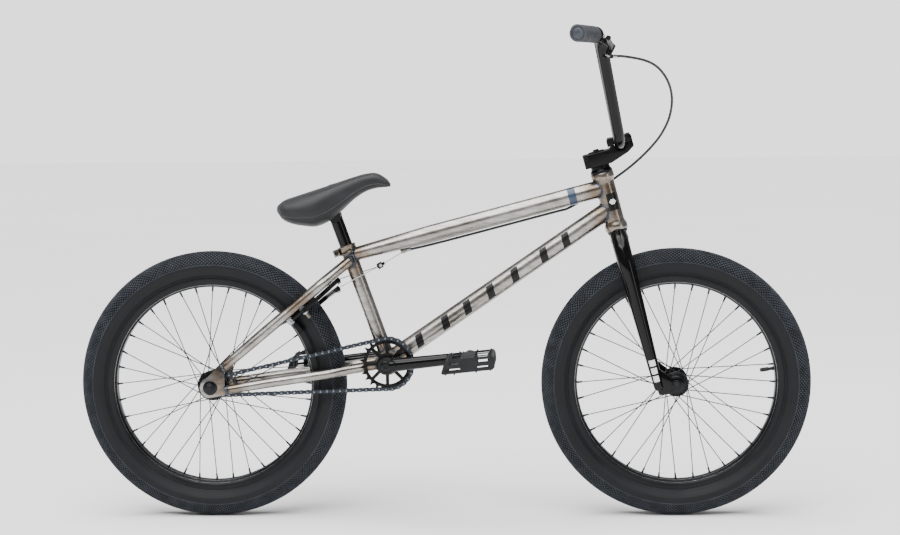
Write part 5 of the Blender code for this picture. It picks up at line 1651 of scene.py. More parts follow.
@dataclass
class BrakeLever:
    """The lever's bracket with its clamp, pin and barrel adjuster, and its two-finger blade."""

    bars: Handlebar
    pivot: Vector = field(default_factory=lambda: Vector((0.329, -0.206, 0.921)))
    tip: Vector = field(default_factory=lambda: Vector((0.324, -0.298, 0.944)))
    pin: Vector = field(default_factory=lambda: Vector((-0.4322481, -0.1965279, -0.8800786)))
    clamp_y: float = 0.205

    def bracket(self, exit_from: Vector, exit_to: Vector) -> None:
        """The clamp, the arm to the pin and the barrel that the housing enters.

        Args:
            exit_from: Where the housing starts.
            exit_to: The next place on its route.
        """
        centre = self.bars.grip_point(self.clamp_y, Side.RIGHT)
        axis = mirrored([self.bars.grip_axis], Side.RIGHT)[0]
        shape = turned(collar(0.0114, 0.0148, 0.0155, 0.006, 0.0052), centre, axis, 64)
        lug_end = self.pivot - self.pin * 0.0070
        reach = (lug_end - centre).normalized()
        arm = [centre + reach * 0.0135, centre + reach * 0.022, lug_end - reach * 0.001]
        for a, b, radius in ((arm[0], arm[1], 0.0056), (arm[1], arm[2], 0.0050)):
            shape.add(rod(a, b, radius, 28, 0.0010))
        shape.add(rod(lug_end - self.pin * 0.0035, lug_end + self.pin * 0.0032, 0.0065, 40, 0.0006))
        shape.add(rod(self.pivot + self.pin * 0.0038, self.pivot + self.pin * 0.0120, 0.0062, 40, 0.0006))
        along = (exit_to - exit_from).normalized()
        barrel_end = exit_from - along * 0.0003
        profile = [(0, -0.022), (0.0034, -0.022), (0.0042, -0.0210), (0.0042, -0.0125), (0.0034, -0.0118)]
        at = -0.0110
        while at < -0.0015:
            profile += [(0.0044, at), (0.0044, at + 0.0006), (0.0038, at + 0.0009)]
            at += 0.0014
        profile += [(0.0036, -0.0006), (0.0030, 0), (0, 0)]
        shape.add(turned(profile, barrel_end, along, 36))
        make_piece("brake_lever_bracket_cast", shape, POWDER_BLACK, "steering", ["brake_lever_bracket"])
        bolts = Shape()
        bolts.add(hex_bolt(self.pivot + self.pin * 0.0120, self.pin, 0.0044, 0.0022))
        bolts.add(hex_bolt(lug_end - self.pin * 0.0034, -self.pin, 0.0040, 0.0020))
        behind = axis.cross(reach).normalized()
        bolts.add(hex_bolt(centre + reach * 0.0150 + behind * 0.0040, behind, 0.0036, 0.0040))
        make_piece("brake_lever_bolts", bolts, ZINC_STEEL, "steering")

    def blade(self) -> None:
        """The blade: an eye on the pin, a flat curved finger rest and a ball at its tip."""
        along = (self.tip - self.pivot).normalized()
        corners = [self.pivot, self.pivot + along * 0.030 + Vector((0.004, 0, 0)), self.pivot + along * 0.070, self.tip]
        path = resampled(rounded_path(corners, 0.05, 10), 0.003)
        rows: list[Path] = []
        for i, point in enumerate(path):
            share = i / (len(path) - 1)
            ahead = heading(path, i)
            wide = (self.pin - ahead * self.pin.dot(ahead)).normalized()
            thick = ahead.cross(wide)
            ball = math.exp(-(((share - 0.965) / 0.05) ** 2))
            half_wide = 0.0032 + 0.0012 * math.sin(math.pi * share) + 0.0010 * ball
            half_thick = 0.0026 + 0.0022 * ball
            if i in (0, len(path) - 1):
                half_wide, half_thick = half_wide * 0.6, half_thick * 0.6
            rows.append(rounded_section(point, wide * half_wide, thick * half_thick, 0.7, 28))
        shape = loft(rows)
        shape.add(turned(collar(0.0025, 0.0060, 0.0064, 0.0033, 0.0028), self.pivot, self.pin, 40))
        make_piece("brake_lever_blade", shape, POWDER_BLACK, "brake_lever", ["brake_lever"])


# ---------------------------------------------------------------- rear brake


@dataclass
class RearBrake:
    """A U-brake: two crossed arms with pads and springs, the hanger, the straddle wire and the housing."""

    pivot_y: float = 0.043
    layer: float = 0.0056
    pad_drop: float = -0.034
    pad_y: float = 0.025
    end_y: float = 0.037
    hanger: Vector = field(default_factory=lambda: Vector((-0.122, 0, 0.500)))
    route: Path = field(
        default_factory=lambda: [
            Vector((0.3330, -0.1870, 0.9080)), Vector((0.3560, -0.1650, 0.9072)), Vector((0.3960, -0.1380, 0.8985)),
            Vector((0.4220, -0.1120, 0.8830)), Vector((0.4410, -0.0840, 0.8560)), Vector((0.4490, -0.0560, 0.8230)),
            Vector((0.4450, -0.0290, 0.7870)), Vector((0.4300, -0.0060, 0.7530)), Vector((0.4070, 0.0120, 0.7230)),
            Vector((0.3750, 0.0260, 0.6920)), Vector((0.3410, 0.0320, 0.6660)), Vector((0.3090, 0.0290, 0.6450)),
            Vector((0.2780, 0.0170, 0.6260)), Vector((0.2480, 0.0050, 0.6090)), Vector((0.2150, 0.0000, 0.6005)),
            Vector((0.0000, 0.0000, 0.5452)), Vector((-0.0717, 0, 0.5287)),
        ]
    )

    def arm(self, side: Side) -> None:
        """One arm with its eye, the anchor for the wire, the pad's stud and bolts.

        Args:
            side: The side of its pivot.
        """
        body = f"brake_arm_{side.word}"
        out = self.layer * side.value
        s = side.value
        corners = [brake_point(self.pad_drop, s * 0.0375, out), brake_point(0.0, s * self.pivot_y, out),
                   brake_point(0.042, s * 0.0400, out), brake_point(0.060, 0.0, out),
                   brake_point(0.076, -s * self.end_y, out)]
        path = resampled(rounded_path(corners, 0.02, 10), 0.002)
        rows: list[Path] = []
        for i, point in enumerate(path):
            wide = heading(path, i).cross(BRAKE_OUT).normalized()
            end = 0.7 if i in (0, len(path) - 1) else 1.0
            share = i / (len(path) - 1)
            half = (0.0078 - 0.0034 * share) * end
            rows.append(rounded_section(point, wide * half, BRAKE_OUT * 0.0046 * end, 0.6, 24))
        shape = loft(rows)
        eye = brake_point(0, s * self.pivot_y, out)
        shape.add(turned(collar(0.0043, 0.0080, 0.0085, 0.0052, 0.0047), eye, BRAKE_OUT, 48))
        tip = brake_point(0.0765, -s * self.end_y, out)
        shape.add(rod(tip - BRAKE_OUT * 0.0047, tip + BRAKE_OUT * 0.0047, 0.0060, 36, 0.0006))
        pad = brake_point(self.pad_drop, s * self.pad_y, 0)

        def beside(distance: float) -> Vector:
            """A place on the pad's stud, by distance from the pad."""
            return pad + ACROSS * s * distance + BRAKE_OUT * out

        shape.add(rod(beside(0.0053), beside(0.0180), 0.0045, 32, 0.0006))
        shape.add(turned(collar(0.0040, 0.0082, 0.0088, 0.0030, 0.0022), beside(0.0100), ACROSS * s, 44))
        make_piece(f"brake_arm_forged_{side.word}", shape, POWDER_BLACK, body, [body])
        bolts = Shape()
        bolts.add(hex_bolt(eye + BRAKE_OUT * 0.0050, BRAKE_OUT, 0.0058, 0.0034))
        bolts.add(turned(washer(0.0044, 0.0078, 0, 0.0008), eye + BRAKE_OUT * 0.0050, BRAKE_OUT, 40))
        bolts.add(hex_bolt(tip + BRAKE_OUT * 0.0045, BRAKE_OUT, 0.0042, 0.0034))
        bolts.add(hex_bolt(beside(0.0176), ACROSS * s, 0.0050, 0.0042))
        bolts.add(turned(washer(0.0046, 0.0072, 0, 0.0012), beside(0.0166), ACROSS * s, 40))
        make_piece(f"brake_arm_bolts_{side.word}", bolts, ZINC_STEEL, body)
        coil = []
        for i in range(73):
            turn = math.tau * i / 24
            rise = BRAKE_OUT * (0.0062 + 0.0008 * i / 24)
            coil.append(eye - rise + (STAY_UP * math.cos(turn) + ACROSS * math.sin(turn)) * 0.0066)
        make_piece(f"brake_spring_{side.word}", wire(coil, 0.00065, 8), ZINC_STEEL, "frame")
        radial = (BRAKE_PIVOT + STAY_UP * self.pad_drop - REAR_AXLE).normalized()
        tangent = Vector((-radial.z, 0, radial.x))
        rubber = Shape()
        for i in range(5):
            place = pad - ACROSS * s * 0.0014 + tangent * (i - 2) * 0.0100
            rubber.add(block(place, (0.0098, 0.0072, 0.0088), tangent, radial))
        rubber.add(block(pad + ACROSS * s * 0.0012, (0.0094, 0.0062, 0.0496), tangent, radial))
        make_piece(f"brake_pad_moulded_{side.word}", rubber, PAD_RUBBER, body, [f"brake_pad_{side.word}"], 0.6)
        holder = block(pad + ACROSS * s * 0.0040, (0.0100, 0.0020, 0.0440), tangent, radial)
        make_piece(f"brake_pad_holder_{side.word}", holder, POWDER_BLACK, body, bevel_mm=0.4)

    def cable(self) -> None:
        """The hanger on its bare wire, the straddle wire, and the housing with its ferrules."""
        pull = (HOUSING_STOP - self.hanger).normalized()
        up = pull.cross(ACROSS)
        shape = block(self.hanger, (0.016, 0.012, 0.006), up, pull)
        shape.add(turned(collar(0, 0.0050, 0.0056, 0.006, 0.004), self.hanger - pull * 0.002, up, 32))
        make_piece("cable_hanger_yoke", shape, POWDER_BLACK, "cable_hanger", ["cable_hanger"], 0.8)
        bolt = rod(self.hanger - ACROSS * 0.0095, self.hanger + ACROSS * 0.0095, 0.0022, 20)
        bolt.add(hex_bolt(self.hanger - ACROSS * 0.0062, -ACROSS, 0.0036, 0.0040))
        bolt.add(rod(self.hanger + pull * 0.006, HOUSING_STOP - pull * 0.0060, 0.0008, 12))
        make_piece("cable_hanger_bolt_and_wire", bolt, ZINC_STEEL, "cable_hanger")
        yoke = self.hanger - pull * 0.0100
        left = brake_point(0.0815, self.end_y, -self.layer)
        right = brake_point(0.0815, -self.end_y, self.layer)
        path = rounded_path([right, yoke - ACROSS * 0.004, yoke + ACROSS * 0.004, left], 0.004, 6)
        strand = wire(resampled(path, 0.003), 0.0009, 12)
        make_piece("straddle_wire_strand", strand, ZINC_STEEL, "cable_hanger", ["straddle_wire"])
        curve = smooth_path(self.route, 0.006)
        housing = make_piece("brake_housing_lead", wire(curve, 0.0025, 20), HOUSING_PVC, None, ["brake_housing"])
        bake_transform(housing)
        for word, body, at, on in (("lever", "steering", 0, 1), ("frame", "frame", -1, -2)):
            along = (curve[on] - curve[at]).normalized()
            ferrule = [(0, -0.0002), (0.0027, -0.0002), (0.0033, 0.0004), (0.0033, 0.0090), (0.0029, 0.0100),
                       (0, 0.0100)]
            make_piece(f"housing_ferrule_{word}", turned(ferrule, curve[at], along, 28), ZINC_STEEL, body)

    def build(self) -> None:
        """Builds the whole brake but its lever."""
        for side in Side:
            self.arm(side)
        self.cable()


# ---------------------------------------------------------------- drivetrain


@dataclass
class Drivetrain:
    """A 25 tooth ring and 9 tooth driver with their chain, and the cranks on a splined spindle."""

    pitch: float = 0.0127
    ring_teeth: int = 25
    cog_teeth: int = 9
    chain_y: float = -0.042
    thickness: float = 0.0034
    roller: float = 0.0041
    spindle_radius: float = 0.011
    spindle_half: float = 0.076
    crank_length: float = 0.165
    crank_y: float = 0.070
    upper_pitches: int = 29
    lower_pitches: int = 28

    def pitch_radius(self, teeth: int) -> float:
        """The radius of the circle that the chain's pins lie on."""
        return self.pitch / 2 / math.sin(math.pi / teeth)

    def teeth(self, centre: Vector, count: int) -> Outline:
        """An outline with a round gullet for each roller and a narrow crest on each tooth.

        Args:
            centre: The wheel's centre.
            count: How many teeth it has.

        Returns:
            The closed outline.
        """
        radius = self.pitch_radius(count)
        step = math.tau / count
        outline: Outline = []
        for tooth in range(count):
            angle = step * tooth
            for offset in (-0.0009, 0.0009):
                crest = radius + 0.0030
                turn = angle + offset / crest
                outline.append((centre.x + crest * math.cos(turn), centre.z + crest * math.sin(turn)))
            middle = angle + step / 2
            hub = (centre.x + radius * math.cos(middle), centre.z + radius * math.sin(middle))
            for k in range(7):
                turn = middle + math.pi + math.radians(66 - 22 * k)
                outline.append((hub[0] + self.roller * math.cos(turn), hub[1] + self.roller * math.sin(turn)))
        return outline

    def sprockets(self) -> None:
        """The chainring with eight straight arms, and the driver with its sleeve."""
        outlines = [self.teeth(BB, self.ring_teeth)]
        for i in range(8):
            low, high = math.tau * i / 8, math.tau * (i + 1) / 8
            inner, outer = math.asin(0.0033 / 0.0210), math.asin(0.0033 / 0.0405)
            window = arc(BB, 0.0405, low + outer, high - outer, 8) + arc(BB, 0.0210, high - inner, low + inner, 4)
            outlines.append(window)
        outlines.append(circle(BB, self.spindle_radius + 0.0003, 40))
        y, half = self.chain_y, self.thickness / 2
        ring = plate(outlines, y - half, y + half)
        make_piece("chainring_machined", ring, POWDER_BLACK, "crank", ["chainring"], 0.35)
        profile = [(0.0113, 0), (0.0190, 0), (0.0196, -0.0006), (0.0196, -0.0016), (0.0185, -0.0022), (0.0113, -0.0022)]
        boss = turned(profile, sideways(BB, y - half + 0.0002), ACROSS, 64)
        make_piece("chainring_boss", boss, POWDER_BLACK, "crank")
        bolt = hex_bolt(BB + Vector((0.030, y - half, 0.0)), -ACROSS, 0.0042, 0.0032)
        make_piece("chainring_bolt", bolt, BLACK_OXIDE, "crank")
        cog = plate([self.teeth(REAR_AXLE, self.cog_teeth), circle(REAR_AXLE, 0.0073, 32)], y - half, y + half)
        cog.add(turned([(0.0073, -0.0545), (0.0108, -0.0545), (0.0115, -0.0538), (0.0115, -0.0362), (0.0073, -0.0362)],
                       REAR_AXLE, ACROSS, 48))
        make_piece("driver_machined", cog, BLACK_OXIDE, "driver", ["driver"], 0.3)

    def pins(self) -> Path:
        """The places of the chain's pins, in order round the loop.

        Returns:
            The places, starting at the lower front of the chainring.
        """
        ring, cog = self.pitch_radius(self.ring_teeth), self.pitch_radius(self.cog_teeth)
        path: Path = []
        for i in range(13):
            angle = math.radians(-79.2 + 14.4 * i)
            path.append(BB + Vector((ring * math.cos(angle), self.chain_y, ring * math.sin(angle))))
        wraps = [REAR_AXLE + Vector((cog * math.cos(a), self.chain_y, cog * math.sin(a)))
                 for a in map(math.radians, (140, 180, 220, 260))]
        path += [path[-1].lerp(wraps[0], i / self.upper_pitches) for i in range(1, self.upper_pitches)]
        path += wraps
        path += [wraps[-1].lerp(path[0], i / self.lower_pitches) for i in range(1, self.lower_pitches)]
        return path

    def chain(self) -> None:
        """Half-inch chain: waisted inner and outer plates, rollers, and riveted pins."""
        pins = self.pins()
        plates, rivets, rollers = Shape(), Shape(), Shape()
        rivet = collar(0, 0.0014, 0.0018, 0.0042, 0.0039)
        roller = collar(0.0019, 0.0037, 0.0039, 0.0016, 0.0014)
        for i, (a, b) in enumerate(zip(pins, pins[1:] + pins[:1])):
            along = b - a
            forward = along.normalized()
            up = Vector((-forward.z, 0, forward.x))
            length = along.length
            outline = []
            for t in turns(28):
                end = length if math.cos(t) > 0 else 0.0
                share = abs(math.cos(t))
                x = end + 0.0042 * math.cos(t)
                z = 0.0042 * math.sin(t)
                if share < 0.24:
                    x = length / 2 + (0.30 if math.cos(t) > 0 else -0.30) * length * share / 0.24
                    z = math.copysign(0.0029 + 0.0009 * share / 0.24, z)
                place = a + forward * x + up * z
                outline.append((place.x, place.z))
            gap = 0.0030 if i % 2 else 0.0019
            for sign in (-1, 1):
                low = self.chain_y + sign * gap
                plates.add(plate([outline], *sorted((low, low + sign * 0.0010))))
            rivets.add(turned(rivet, a, ACROSS, 16))
            rollers.add(turned(roller, a, ACROSS, 18))
        make_piece("chain_plates", plates, CHAIN_STEEL, "frame", ["chain"])
        make_piece("chain_pins", rivets, CHAIN_PIN, "frame")
        make_piece("chain_rollers", rollers, CHAIN_PIN, "frame")

    def at_crank(self, side: Side, along: float, y: float) -> Vector:
        """A place along a crank arm, at a distance y from the middle of the bike."""
        return BB + CRANK_FORWARD * along * -side.value + ACROSS * side.value * y

    def cranks(self) -> None:
        """Tubular arms between their bosses, the spindle with its bolts, and the bearings."""
        make_piece("crank_spindle_splined", self.spindle(), ZINC_STEEL, "crank", ["crank_spindle"])
        for side in Side:
            inner = 0.0440 if side is Side.RIGHT else self.spindle_half - 0.0365
            arm = [self.at_crank(side, self.crank_length * i / 24, self.crank_y - 0.0005) for i in range(1, 24)]
            radii = [0.0135 - 0.0025 * (i / 24) ** 0.8 for i in range(1, 24)]
            shape = wire(arm, radii, 48)
            out = ACROSS * side.value
            boss = [(0.0113, inner), (0.0150, inner), (0.0158, inner + 0.0008), (0.0158, 0.0735), (0.0168, 0.0745),
                    (0.0168, 0.0795), (0.0160, 0.0805), (0.0113, 0.0805)]
            shape.add(turned(boss, BB, out, 64))
            foot = self.at_crank(side, self.crank_length, 0.0)
            shape.add(turned([(0.0073, 0.0605), (0.0124, 0.0605), (0.0130, 0.0612), (0.0130, 0.0798), (0.0124, 0.0805),
                              (0.0073, 0.0805)], foot, out, 64))
            for distance, radius, size in ((0.0165, 0.0134, 0.0020), (self.crank_length - 0.0138, 0.0110, 0.0018)):
                centre = self.at_crank(side, distance, self.crank_y - 0.0005)
                bow = CRANK_FORWARD * side.value * (0.0022 if distance < 0.1 else -0.0022)
                shape.add(joint_bead(centre, CRANK_UP * radius, ACROSS * radius, bow, size, 40))
            make_piece(f"crank_arm_tubular_{side.word}", shape, GLOSS_BLACK, "crank", [f"crank_arm_{side.word}"])
            cap = hex_bolt(BB + out * 0.0775, out, 0.0105, 0.0042)
            disc = [(0, 0.0760), (0.0125, 0.0760), (0.0125, 0.0778), (0.0118, 0.0784), (0, 0.0784)]
            cap.add(turned(disc, BB, out, 48))
            make_piece(f"crank_bolt_{side.word}", cap, BLACK_OXIDE, "crank")
            face = 0.0365
            ring = [(0.0113, face - 0.0090), (0.0206, face - 0.0090), (0.0206, face), (0.0190, face + 0.0006),
                    (0.0186, face - 0.0004), (0.0140, face - 0.0004), (0.0136, face + 0.0004), (0.0113, face + 0.0004)]
            make_piece(f"bottom_bracket_bearing_sealed_{side.word}", turned(ring, BB, out, 64), ZINC_STEEL, "frame",
                       [f"bottom_bracket_bearing_{side.word}"])
            start, end = (0.0372, inner - 0.0003) if side is Side.LEFT else (0.0372, 0.0400)
            spacer = turned(washer(0.0113, 0.0134, start, end), BB, out, 48)
            make_piece(f"spindle_spacer_{side.word}", spacer, BLACK_ANODISED, "crank")

    def spindle(self) -> Shape:
        """The spindle, splined at both ends.

        Returns:
            The spindle.
        """
        rings: list[Path] = []
        for y in (-0.0755, -0.0750, -0.0440, -0.0436, 0.0436, 0.0440, 0.0750, 0.0755):
            depth = 0.0006 if abs(y) > 0.0438 else 0.0
            size = 0.93 if abs(y) > 0.0752 else 1.0
            radii = [(self.spindle_radius - depth * (k % 2)) * size for k in range(96)]
            rings.append([BB + Vector((r * math.cos(a), y, r * math.sin(a))) for r, a in zip(radii, turns(96))])
        return loft(rings)

    def rear_axle(self) -> None:
        """The rear axle, its washers and its nuts."""
        axle = threaded_rod(REAR_AXLE, 0.0070, 0.072, 28)
        make_piece("rear_axle_threaded", axle, BLACK_OXIDE, "frame", ["rear_axle"])
        flange = [(0.0073, 0), (0.0142, 0), (0.0142, 0.0014), (0.0120, 0.0024), (0.0073, 0.0024)]
        for side in Side:
            out = ACROSS * side.value
            foot = REAR_AXLE + out * 0.0613
            shape = turned(flange, foot, out, 48)
            shape.add(hex_bolt(foot + out * 0.0020, out, 0.0108, 0.0074, socket=False))
            make_piece(f"rear_axle_nut_flanged_{side.word}", shape, BLACK_OXIDE, "frame",
                       [f"rear_axle_nut_{side.word}"])

    def build(self) -> None:
        """Builds the drivetrain."""
        self.sprockets()
        self.chain()
        self.cranks()
        self.rear_axle()


@dataclass
class Pedal:
    """A moulded platform pedal on its axle: two end walls, rails, a sleeve, ribs and moulded pins."""

    side: Side
    drive: Drivetrain
    length: float = 0.104
    width: float = 0.094
    height: float = 0.027
    y: float = 0.133

    @property
    def centre(self) -> Vector:
        """The middle of the pedal."""
        return self.drive.at_crank(self.side, self.drive.crank_length, self.y)

    def outline(self, places: Sequence[tuple[float, float]]) -> Outline:
        """(x, z) corners from distances along the crank line and square to it."""
        return side_view(self.centre + CRANK_FORWARD * f + CRANK_UP * u for f, u in places)

    def slab(self, places: list[Sequence[tuple[float, float]]], low: float, high: float) -> Shape:
        """A plate between two distances from the pedal's middle along Y."""
        return plate([self.outline(p) for p in places], self.centre.y + low, self.centre.y + high)

    def body(self) -> Shape:
        """The end walls, rails, ribs and sleeve, with the holes between them.

        Returns:
            The moulding.
        """
        a, h = self.length / 2, self.height / 2
        wall = [(-a, -h + 0.003), (-a + 0.003, -h), (a - 0.006, -h), (a - 0.001, -h + 0.004), (a, h - 0.006),
                (a - 0.003, h),
                (-a + 0.013, h), (-a + 0.009, h - 0.002)]
        slots = [
            [(0.018, 0.0040), (0.041, 0.0040), (0.043, 0.0060), (0.041, 0.0085), (0.018, 0.0085), (0.016, 0.0060)],
            [(-0.043, -0.0085), (-0.017, -0.0085), (-0.014, -0.0060), (-0.017, -0.0035), (-0.040, -0.0035),
             (-0.045, -0.0060)],
            [(0.018, -0.0085), (0.040, -0.0085), (0.042, -0.0060), (0.040, -0.0035), (0.018, -0.0035),
             (0.016, -0.0060)],
            [(-0.034, 0.0040), (-0.018, 0.0040), (-0.016, 0.0060), (-0.018, 0.0085), (-0.032, 0.0085),
             (-0.036, 0.0060)],
        ]
        windows = [
            [(0.0165, -0.0095), (0.040, -0.0095), (0.042, 0.0095), (0.0165, 0.0095)],
            [(-0.042, -0.0095), (-0.0165, -0.0095), (-0.0165, 0.0095), (-0.034, 0.0095)],
        ]
        far, near = (windows, slots) if self.side is Side.RIGHT else (slots, windows)
        shape = self.slab([wall, *far], self.width / 2 - 0.0048, self.width / 2)
        shape.add(self.slab([wall, *near], -self.width / 2, -self.width / 2 + 0.0048))
        inner = self.width / 2 - 0.004
        for rail in (
            [(a - 0.012, h), (a - 0.003, h), (a - 0.0005, h - 0.006), (a - 0.009, h - 0.0065)],
            [(a - 0.014, -h), (a - 0.006, -h), (a - 0.0015, -h + 0.004), (a - 0.010, -h + 0.0065)],
            [(-a + 0.013, h), (-a + 0.022, h), (-a + 0.018, h - 0.0065), (-a + 0.008, h - 0.006)],
            [(-a + 0.003, -h), (-a + 0.012, -h), (-a + 0.009, -h + 0.0065), (-a, -h + 0.004)],
            [(-0.013, h), (0.013, h), (0.015, h - 0.004), (-0.015, h - 0.004)],
            [(-0.013, -h), (-0.015, -h + 0.004), (0.015, -h + 0.004), (0.013, -h)],
        ):
            shape.add(self.slab([rail], -inner, inner))
        rib = [(-a + 0.012, -h + 0.001), (a - 0.012, -h + 0.001), (a - 0.010, h - 0.001), (-a + 0.018, h - 0.001)]
        holes = [
            [(0.0165, -0.0110), (0.037, -0.0110), (0.038, 0.0105), (0.0165, 0.0105)],
            [(-0.038, -0.0110), (-0.0165, -0.0110), (-0.0165, 0.0105), (-0.031, 0.0105)],
        ]
        for y in (-0.0145, 0.0145):
            shape.add(self.slab([rib, *holes], y - 0.0019, y + 0.0019))
        end = self.width / 2 - 0.001
        sleeve = [(0.0064, -end), (0.0112, -end), (0.0118, 0), (0.0112, end), (0, end), (0, end - 0.004),
                  (0.0064, end - 0.004)]
        return shape.add(turned(sleeve, self.centre, ACROSS * self.side.value, 48))

    def pins(self) -> Shape:
        """The moulded pins on both faces.

        Returns:
            The pins.
        """
        shape = Shape()
        h = self.height / 2
        places = [(f, y) for f in (-0.034, 0.044) for y in (-0.040, -0.020, 0.0, 0.020, 0.040)]
        places += [(f, y) for f in (-0.017, 0.017) for y in (-0.0445, 0.0445)]
        pin = [(0, 0), (0.0023, 0), (0.0019, 0.0022), (0.0015, 0.0034), (0, 0.0036)]
        for sign in (-1, 1):
            for forward, y in places:
                shift = 0.0 if sign > 0 else (-0.010 if forward < 0 else -0.002)
                foot = self.centre + CRANK_FORWARD * (forward + shift) + CRANK_UP * sign * (h - 0.001) + ACROSS * y
                shape.add(turned(pin, foot, CRANK_UP * sign, 14))
        return shape

    def build(self) -> None:
        """Builds the pedal and its axle."""
        word = self.side.word
        body = f"pedal_{word}"
        make_piece(f"pedal_moulding_{word}", self.body(), PEDAL_NYLON, body, [body], 0.55)
        make_piece(f"pedal_pins_{word}", self.pins(), PEDAL_NYLON, body)
        out = ACROSS * self.side.value
        foot = self.drive.at_crank(self.side, self.drive.crank_length, 0.0)
        axle = [(0, 0.0625), (0.0060, 0.0625), (0.0070, 0.0635), (0.0070, 0.0806), (0.0088, 0.0808), (0.0088, 0.0825),
                (0.0066, 0.0830), (0.0060, 0.0860), (0.0060, 0.1740), (0, 0.1740)]
        make_piece(f"pedal_axle_forged_{word}", turned(axle, foot, out, 40), ZINC_STEEL, "crank",
                   [f"pedal_axle_{word}"])


# ---------------------------------------------------------------- seat


@dataclass
class Saddle:
    """A pivotal saddle: a padded cover with a welted edge, on its post."""

    sections: list[tuple[float, float, float, float]] = field(
        default_factory=lambda: [
            (-0.3225, 0.6205, 0.6060, 0.030), (-0.3120, 0.6290, 0.5930, 0.052), (-0.2950, 0.6350, 0.5845, 0.062),
            (-0.2700, 0.6430, 0.5795, 0.066), (-0.2450, 0.6510, 0.5785, 0.063), (-0.2200, 0.6590, 0.5890, 0.052),
            (-0.1990, 0.6660, 0.6060, 0.040), (-0.1740, 0.6740, 0.6290, 0.029), (-0.1500, 0.6805, 0.6450, 0.0225),
            (-0.1280, 0.6815, 0.6520, 0.0200), (-0.1080, 0.6700, 0.6540, 0.0165), (-0.1010, 0.6610, 0.6550, 0.0110),
        ]
    )
    head: Vector = field(default_factory=lambda: BB + SEAT_UP * 0.306)
    side_power: float = 0.72
    top_power: float = 0.86
    seam_share: float = 0.62
    bolt_x: float = -0.2150

    def section_at(self, x: float) -> tuple[float, float, float]:
        """Finds the saddle's section on a smooth curve through its sections.

        Args:
            x: The place along the bike.

        Returns:
            The top, the bottom and half of the width.
        """
        table = self.sections
        i = max(j for j in range(len(table) - 1) if table[j][0] <= x + 1e-9)
        before, here, after, last = (table[min(max(k, 0), len(table) - 1)] for k in (i - 1, i, i + 1, i + 2))
        t = (x - here[0]) / (after[0] - here[0])
        values = []
        for n in (1, 2, 3):
            p, a, b, q = before[n], here[n], after[n], last[n]
            run = after[0] - here[0]
            slope_a = (b - p) / (after[0] - before[0]) * run if before is not here else b - a
            slope_b = (q - a) / (last[0] - here[0]) * run if last is not after else b - a
            values.append((2 * t**3 - 3 * t**2 + 1) * a + (t**3 - 2 * t**2 + t) * slope_a
                          + (3 * t**2 - 2 * t**3) * b + (t**3 - t**2) * slope_b)
        return values[0], values[1], values[2]

    def place(self, x: float, degrees: float) -> Vector:
        """A point on the cover.

        Args:
            x: Its place along the bike.
            degrees: Its angle round the section, from the left towards the top.

        Returns:
            The point.
        """
        top, bottom, half = self.section_at(x)
        angle = math.radians(degrees)
        flat = math.copysign(abs(math.cos(angle)) ** self.side_power, math.cos(angle))
        tall = math.copysign(abs(math.sin(angle)) ** self.top_power, math.sin(angle))
        return Vector((x, half * flat, (top + bottom) / 2 + (top - bottom) / 2 * tall))

    def cover(self) -> None:
        """The padded cover, with a groove along each of its two seams."""
        count, around = 120, 96
        low, high = self.sections[0][0], self.sections[-1][0]
        rows = []
        for i in range(count + 1):
            x = low + (high - low) * (0.5 - 0.5 * math.cos(math.pi * i / count))
            ring = [self.place(x, 360.0 * k / around) for k in range(around)]
            if i in (0, count):
                middle = sum(ring, Vector()) / around
                ring = [middle + (p - middle) * 0.55 for p in ring]
            top, bottom, half = self.section_at(min(max(x, low), high))
            for p in ring:
                if p.z > (top + bottom) / 2 and half > 0.021:
                    p.z -= 0.0011 * math.exp(-(((abs(p.y) - half * self.seam_share) / 0.0016) ** 2))
            rows.append(ring)
        body_piece = make_piece("seat_padded_cover", loft(rows), SEAT_VINYL, "seat", ["seat"])

    def trim(self) -> None:
        """The welt round the cover's edge, the stitches of its seams, and the bolt's eyelet."""
        low, high = self.sections[0][0], self.sections[-1][0]
        welt, stitches = Shape(), Shape()
        for side in Side:
            degrees = -18.0 if side is Side.LEFT else 198.0
            line = [self.place(low + 0.003 + (high - low - 0.008) * i / 89, degrees) for i in range(90)]
            welt.add(wire(line, 0.0011, 10))
        make_piece("seat_edge_welt", welt, SEAT_SHELL, "seat")
        stitch = ((-0.0009, -0.0004), (0, 0.0003), (0.0009, -0.0004))
        across = self.seam_share ** (1 / self.side_power)
        tall = (1 - across**2) ** 0.5
        for side in Side:
            for i in range(58):
                x = -0.305 + 0.165 * i / 57
                top, bottom, half = self.section_at(x)
                y = side.value * half * self.seam_share
                z = (top + bottom) / 2 + (top - bottom) / 2 * tall**self.top_power - 0.0004
                thread = [Vector((x + run, y, z + rise)) for run, rise in stitch]
                stitches.add(wire(thread, 0.00035, 6))
        make_piece("seat_stitches", stitches, SEAT_SHELL, "seat")
        top = self.section_at(self.bolt_x)[0]
        up = Vector((-0.28, 0, 1)).normalized()
        cup = turned([(0.0042, 0.0004), (0.0088, 0.0004), (0.0094, -0.0006), (0.0088, -0.0016), (0.0042, -0.0040)],
                     Vector((self.bolt_x, 0, top)), up, 40)
        make_piece("seat_bolt_eyelet", cup, SEAT_SHELL, "seat")
        bolt = hex_bolt(Vector((self.bolt_x, 0, top - 0.0046)), up, 0.0050, 0.0030)
        make_piece("seat_pivot_bolt", bolt, BLACK_OXIDE, "seat")

    def post(self) -> None:
        """The post and its round head."""
        start, end = BB + SEAT_UP * 0.150, BB + SEAT_UP * 0.304
        shape = rod(start, end, 0.0127, 64, 0.0006)
        shape.add(turned(collar(0, 0.0118, 0.0125, 0.0145, 0.0138), self.head, ACROSS, 56))
        make_piece("seat_post_tube", shape, GLOSS_BLACK, "seat_post", ["seat_post"])

